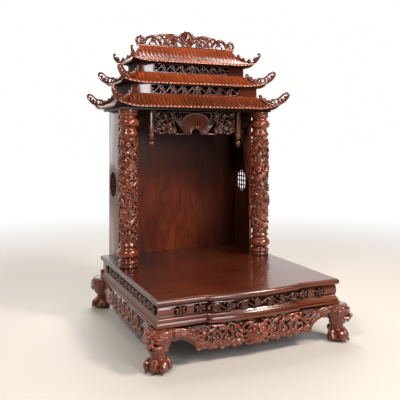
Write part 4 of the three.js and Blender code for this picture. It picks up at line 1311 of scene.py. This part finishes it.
def carvedValance():
    low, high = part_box("valance")
    top, front = high.z, low.y

    def place(across, up, out):
        return (across * mm, front + (9 - out) * mm, top + up * mm)

    half = [
        smoothLine([(-180, -80, 0, 4), (-164, -88, 1, 4), (-146, -92, 1, 4), (-130, -86, 1, 4),
                    (-112, -84, 1, 4), (-94, -92, 1, 4), (-74, -95, 1, 4), (-50, -93, 1, 4),
                    (-30, -96, 1, 4)]),
        [(-180, -4, 0, 4), (0, -4, 0, 4)], [(-177, -4, 0, 4), (-177, -84, 0, 4)],
        smoothLine([(-176, -70, 1, 4), (-160, -58, 2, 4.2), (-146, -44, 2, 4.4), (-130, -34, 2, 4.2),
                    (-112, -32, 2, 4), (-98, -22, 2, 3.8), (-86, -6, 1, 3.6)]),
        smoothLine([(-176, -20, 1, 4), (-156, -30, 2, 4), (-144, -46, 2, 4), (-128, -60, 2, 4),
                    (-110, -70, 2, 3.8), (-96, -86, 1, 3.6)]),
        smoothLine([(-66, -6, 0, 3.6), (-76, -18, 1, 3.8), (-92, -24, 2, 3.8), (-104, -40, 2, 3.6),
                    (-96, -54, 2, 3.4)]),
    ]
    chance = random.Random(17)
    for k in range(valanceLook["leaves"]):
        half.append(leaf(chance.uniform(-174, -88), chance.uniform(-88, -8), chance.uniform(14, 24),
                         chance.uniform(0, 6.28), chance.uniform(0, 4), 3.3, chance.uniform(-1, 1), 2))
    for across, up, size in ((-160, -76, 9), (-138, -74, 9), (-116, -52, 10), (-160, -44, 9),
                             (-134, -18, 9), (-102, -44, 8), (-164, -14, 8), (-108, -14, 8), (-112, -84, 9),
                             (-92, -80, 8)):
        half.append(volute(across, up, size, across, 1.2, 1, 3, 4, 3, 1))
    for across in (-96, -86, -76):
        half.append([(across, -28, 3, 3.8), (across + 24, -58, 6, 4.4), (across + 54, -95, 5, 4)])
    # an open fan in the middle with a dark half-round under it
    half.append(smoothLine([(-66, -20, 8, 3), (-62, -42, 9, 3.4), (-44, -64, 9, 3.4), (-26, -84, 9, 3.4)]))
    arch = [math.pi * k / 24 for k in range(25)]
    dome = [(valanceLook["fanHalf"] * math.cos(a),
             valanceLook["fanTall"] * math.sin(a) + valanceLook["fanUp"]) for a in arch]
    outline = dome + [(-46, -76), (-30, -96), (30, -96), (46, -76)]
    rings = [[place(across, up, out) for across, up in outline] for out in (-3, 5.5)]
    fan = loft("fan", rings)
    archHalf, archUp = valanceLook["archHalf"], valanceLook["archUp"]
    cutBays(fan, [], [((0, front, top + archUp * mm), (archHalf - 1) * mm)])
    ribs = [[(across, up, 4.5, 2.8) for across, up in dome],
            [(archHalf * math.cos(a), archUp + archHalf * math.sin(a), 7, 3) for a in arch]]
    fan = joinAll([fan, strands("fanRim", ribs, place)])
    body = strands("valance", half + flipped(half), place)
    for piece, name, finish, keep in ((body, "valance_carved", paintedShadeCarved, valanceLook["keep"]),
                                      (fan, "valance_fan", darkCarved, valanceLook["fanKeep"])):
        fuse(piece, valanceLook["voxel"], 0.4, 1, keep)
        trimUpright(piece, low.z, high.z)
        handOver(piece, name, "carved_wood", finish, "valance")


def pendantDrop(node):
    low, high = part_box(node)
    x, y = (low.x + high.x) / 2, (low.y + high.y) / 2
    post = roundedBoard("post", (x - 0.008, y - 0.0105, low.z + 0.041),
                        (x + 0.008, y + 0.0105, high.z), 2.2, 3)
    bud = turned([(0, 0), (2.5, 1), (6, 7), (9.5, 13), (11.5, 18), (11, 23), (8, 28), (5, 32), (5.5, 35),
                  (9, 37), (9.4, 39.5), (7, 42), (0, 42)], (x, y, low.z), 32)
    ring = turned([(0, 0), (10.5, 0), (12, 2), (12, 5), (10.5, 7), (0, 7)], (x, y, low.z + 0.05), 32)
    piece = joinAll([post, bud, ring])
    only(piece)
    bpy.ops.object.shade_smooth_by_angle(angle=math.radians(45))
    handOver(piece, node + "_turned", "carved_wood", paintedShadeCarved, node)


tailLook = {"curls": 13, "step": 21, "voxel": 1.3, "keep": 0.5}


def carvedTail(node, side):
    low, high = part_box(node)
    wall = high.x if side > 0 else low.x
    front = low.y

    def place(across, up, out):
        return (wall - side * across * mm, front + (7 - out) * mm, high.z + up * mm)

    lines = [smoothLine([(48, -4, 1, 4), (46, -20, 2, 4), (34, -40, 3, 4), (32, -62, 3, 4),
                         (34, -90, 3, 4.2), (34, -112, 3, 4), (26, -140, 3, 4), (20, -172, 2, 4),
                         (18, -204, 2, 3.8), (14, -240, 2, 3.6), (9, -272, 1, 3.2), (5, -296, 0, 2.6)]),
             smoothLine([(4, -6, 0, 3.6), (5, -80, 1, 3.6), (4, -160, 1, 3.6), (4, -230, 1, 3.2),
                         (3, -290, 0, 2.6)])]
    for k in range(tailLook["curls"]):
        up = -16 - tailLook["step"] * k
        reach = 40 - 2.5 * k
        hand = 1 if k % 2 else -1
        lines.append(volute(max(reach * 0.55, 8), up, max(9 - 0.3 * k, 4.5), 1.5 + k, 1.25, hand, 3, 4,
                            2.2, 1))
        lines.append(leaf(6, up - 6, max(reach * 0.9, 12), 0.7, 3, 3.8, 0.9, 2))
    body = joinAll([looseCopy(node), strands("tail", lines, place)])
    fuse(body, tailLook["voxel"], 0.4, 1, tailLook["keep"])
    handOver(body, node + "_carved", "carved_wood", paintedShadeCarved, node)


carvedValance()
for node in ("pendant_left", "pendant_right"):
    pendantDrop(node)
carvedTail("valance_tail_left", -1)
carvedTail("valance_tail_right", 1)
print("valance carved")


floorLook = {"size": 30, "tone": (0.5, 0.45, 0.4), "clearFrom": 0.9, "clearTo": 3.2}
bpy.ops.mesh.primitive_plane_add(size=floorLook["size"], location=(0, 0, -0.0005))
floor = bpy.context.object
floor.name = "studio_floor"
paint, nodes, links, shader = newMaterial("paleFloor")
shader.inputs["Base Color"].default_value = (*floorLook["tone"], 1)
shader.inputs["Roughness"].default_value = 0.5
# far from the piece the floor runs out into the white backdrop
glow = nodes.new("ShaderNodeEmission")
where = nodes.new("ShaderNodeTexCoord")
far = nodes.new("ShaderNodeVectorMath")
far.operation = "LENGTH"
links.new(where.outputs["Object"], far.inputs[0])
runOut = rangeOf(nodes, links, far.outputs["Value"], (floorLook["clearFrom"], 0), (floorLook["clearTo"], 1),
                 True)
blend = nodes.new("ShaderNodeMixShader")
sight = nodes.new("ShaderNodeLightPath")
onlySeen = nodes.new("ShaderNodeMath")
onlySeen.operation = "MULTIPLY"
links.new(runOut, onlySeen.inputs[0])
links.new(sight.outputs["Is Camera Ray"], onlySeen.inputs[1])
links.new(onlySeen.outputs["Value"], blend.inputs["Fac"])
links.new(shader.outputs["BSDF"], blend.inputs[1])
links.new(glow.outputs["Emission"], blend.inputs[2])
output = next(n for n in nodes if n.type == "OUTPUT_MATERIAL")
links.new(blend.outputs["Shader"], output.inputs["Surface"])
floor.data.materials.append(paint)

studioAir = {"seen": 1.0, "behind": 1.1, "front": 0.06, "tone": (1.0, 0.995, 0.99)}
world = bpy.data.worlds.new("studioAir")
bpy.context.scene.world = world
world.use_nodes = True
air, airLinks = world.node_tree.nodes, world.node_tree.links
background = air["Background"]
background.inputs["Color"].default_value = (*studioAir["tone"], 1)
# bright backdrop behind the piece, a dimmer room in front of it
way = air.new("ShaderNodeTexCoord")
split = air.new("ShaderNodeSeparateXYZ")
airLinks.new(way.outputs["Generated"], split.inputs["Vector"])
fade = rangeOf(air, airLinks, split.outputs["Y"], (0.1, studioAir["front"]), (0.8, studioAir["behind"]))
path = air.new("ShaderNodeLightPath")
seen = air.new("ShaderNodeMix")
seen.inputs["B"].default_value = studioAir["seen"]
airLinks.new(path.outputs["Is Camera Ray"], seen.inputs["Factor"])
airLinks.new(fade, seen.inputs["A"])
airLinks.new(seen.outputs["Result"], background.inputs["Strength"])

studioLights = {
    "windowFront": {"at": (0.3, -2.5, 1.2), "size": 0.6, "tall": 1.3, "watts": 38, "tone": (0.88, 0.93, 1)},
    "softboxRight": {"at": (1.7, -2.0, 2.7), "size": 0.7, "watts": 125, "tone": (1, 0.94, 0.86)},
    "softboxLeft": {"at": (-2.1, -1.8, 2.6), "size": 0.7, "watts": 75, "tone": (1, 0.97, 0.94)},
    "overhead": {"at": (0.3, 1.7, 2.8), "size": 1.6, "watts": 75, "tone": (1, 0.99, 0.97)},
}
for name, light in studioLights.items():
    bpy.ops.object.light_add(type="AREA", location=light["at"])
    lamp = bpy.context.object
    lamp.name = name
    lamp.data.shape = "RECTANGLE"
    lamp.data.size = light["size"]
    lamp.data.size_y = light.get("tall", light["size"])
    lamp.data.energy = light["watts"]
    lamp.data.color = light["tone"]
    aim = Vector((0, 0, 0.5)) - Vector(light["at"])
    lamp.rotation_euler = aim.to_track_quat("-Z", "Y").to_euler()

cameraPlace = {"at": (-0.8983, -1.984, 0.712), "turn": 0.4127, "lens": 50.13, "shiftY": -0.15625}
bpy.ops.object.camera_add(location=cameraPlace["at"], rotation=(math.pi / 2, 0, -cameraPlace["turn"]))
camera = bpy.context.object
camera.data.lens = cameraPlace["lens"]
camera.data.sensor_width = 36
camera.data.shift_y = cameraPlace["shiftY"]
bpy.context.scene.camera = camera
bpy.context.scene.view_settings.view_transform = "Standard"
print("studio ready")
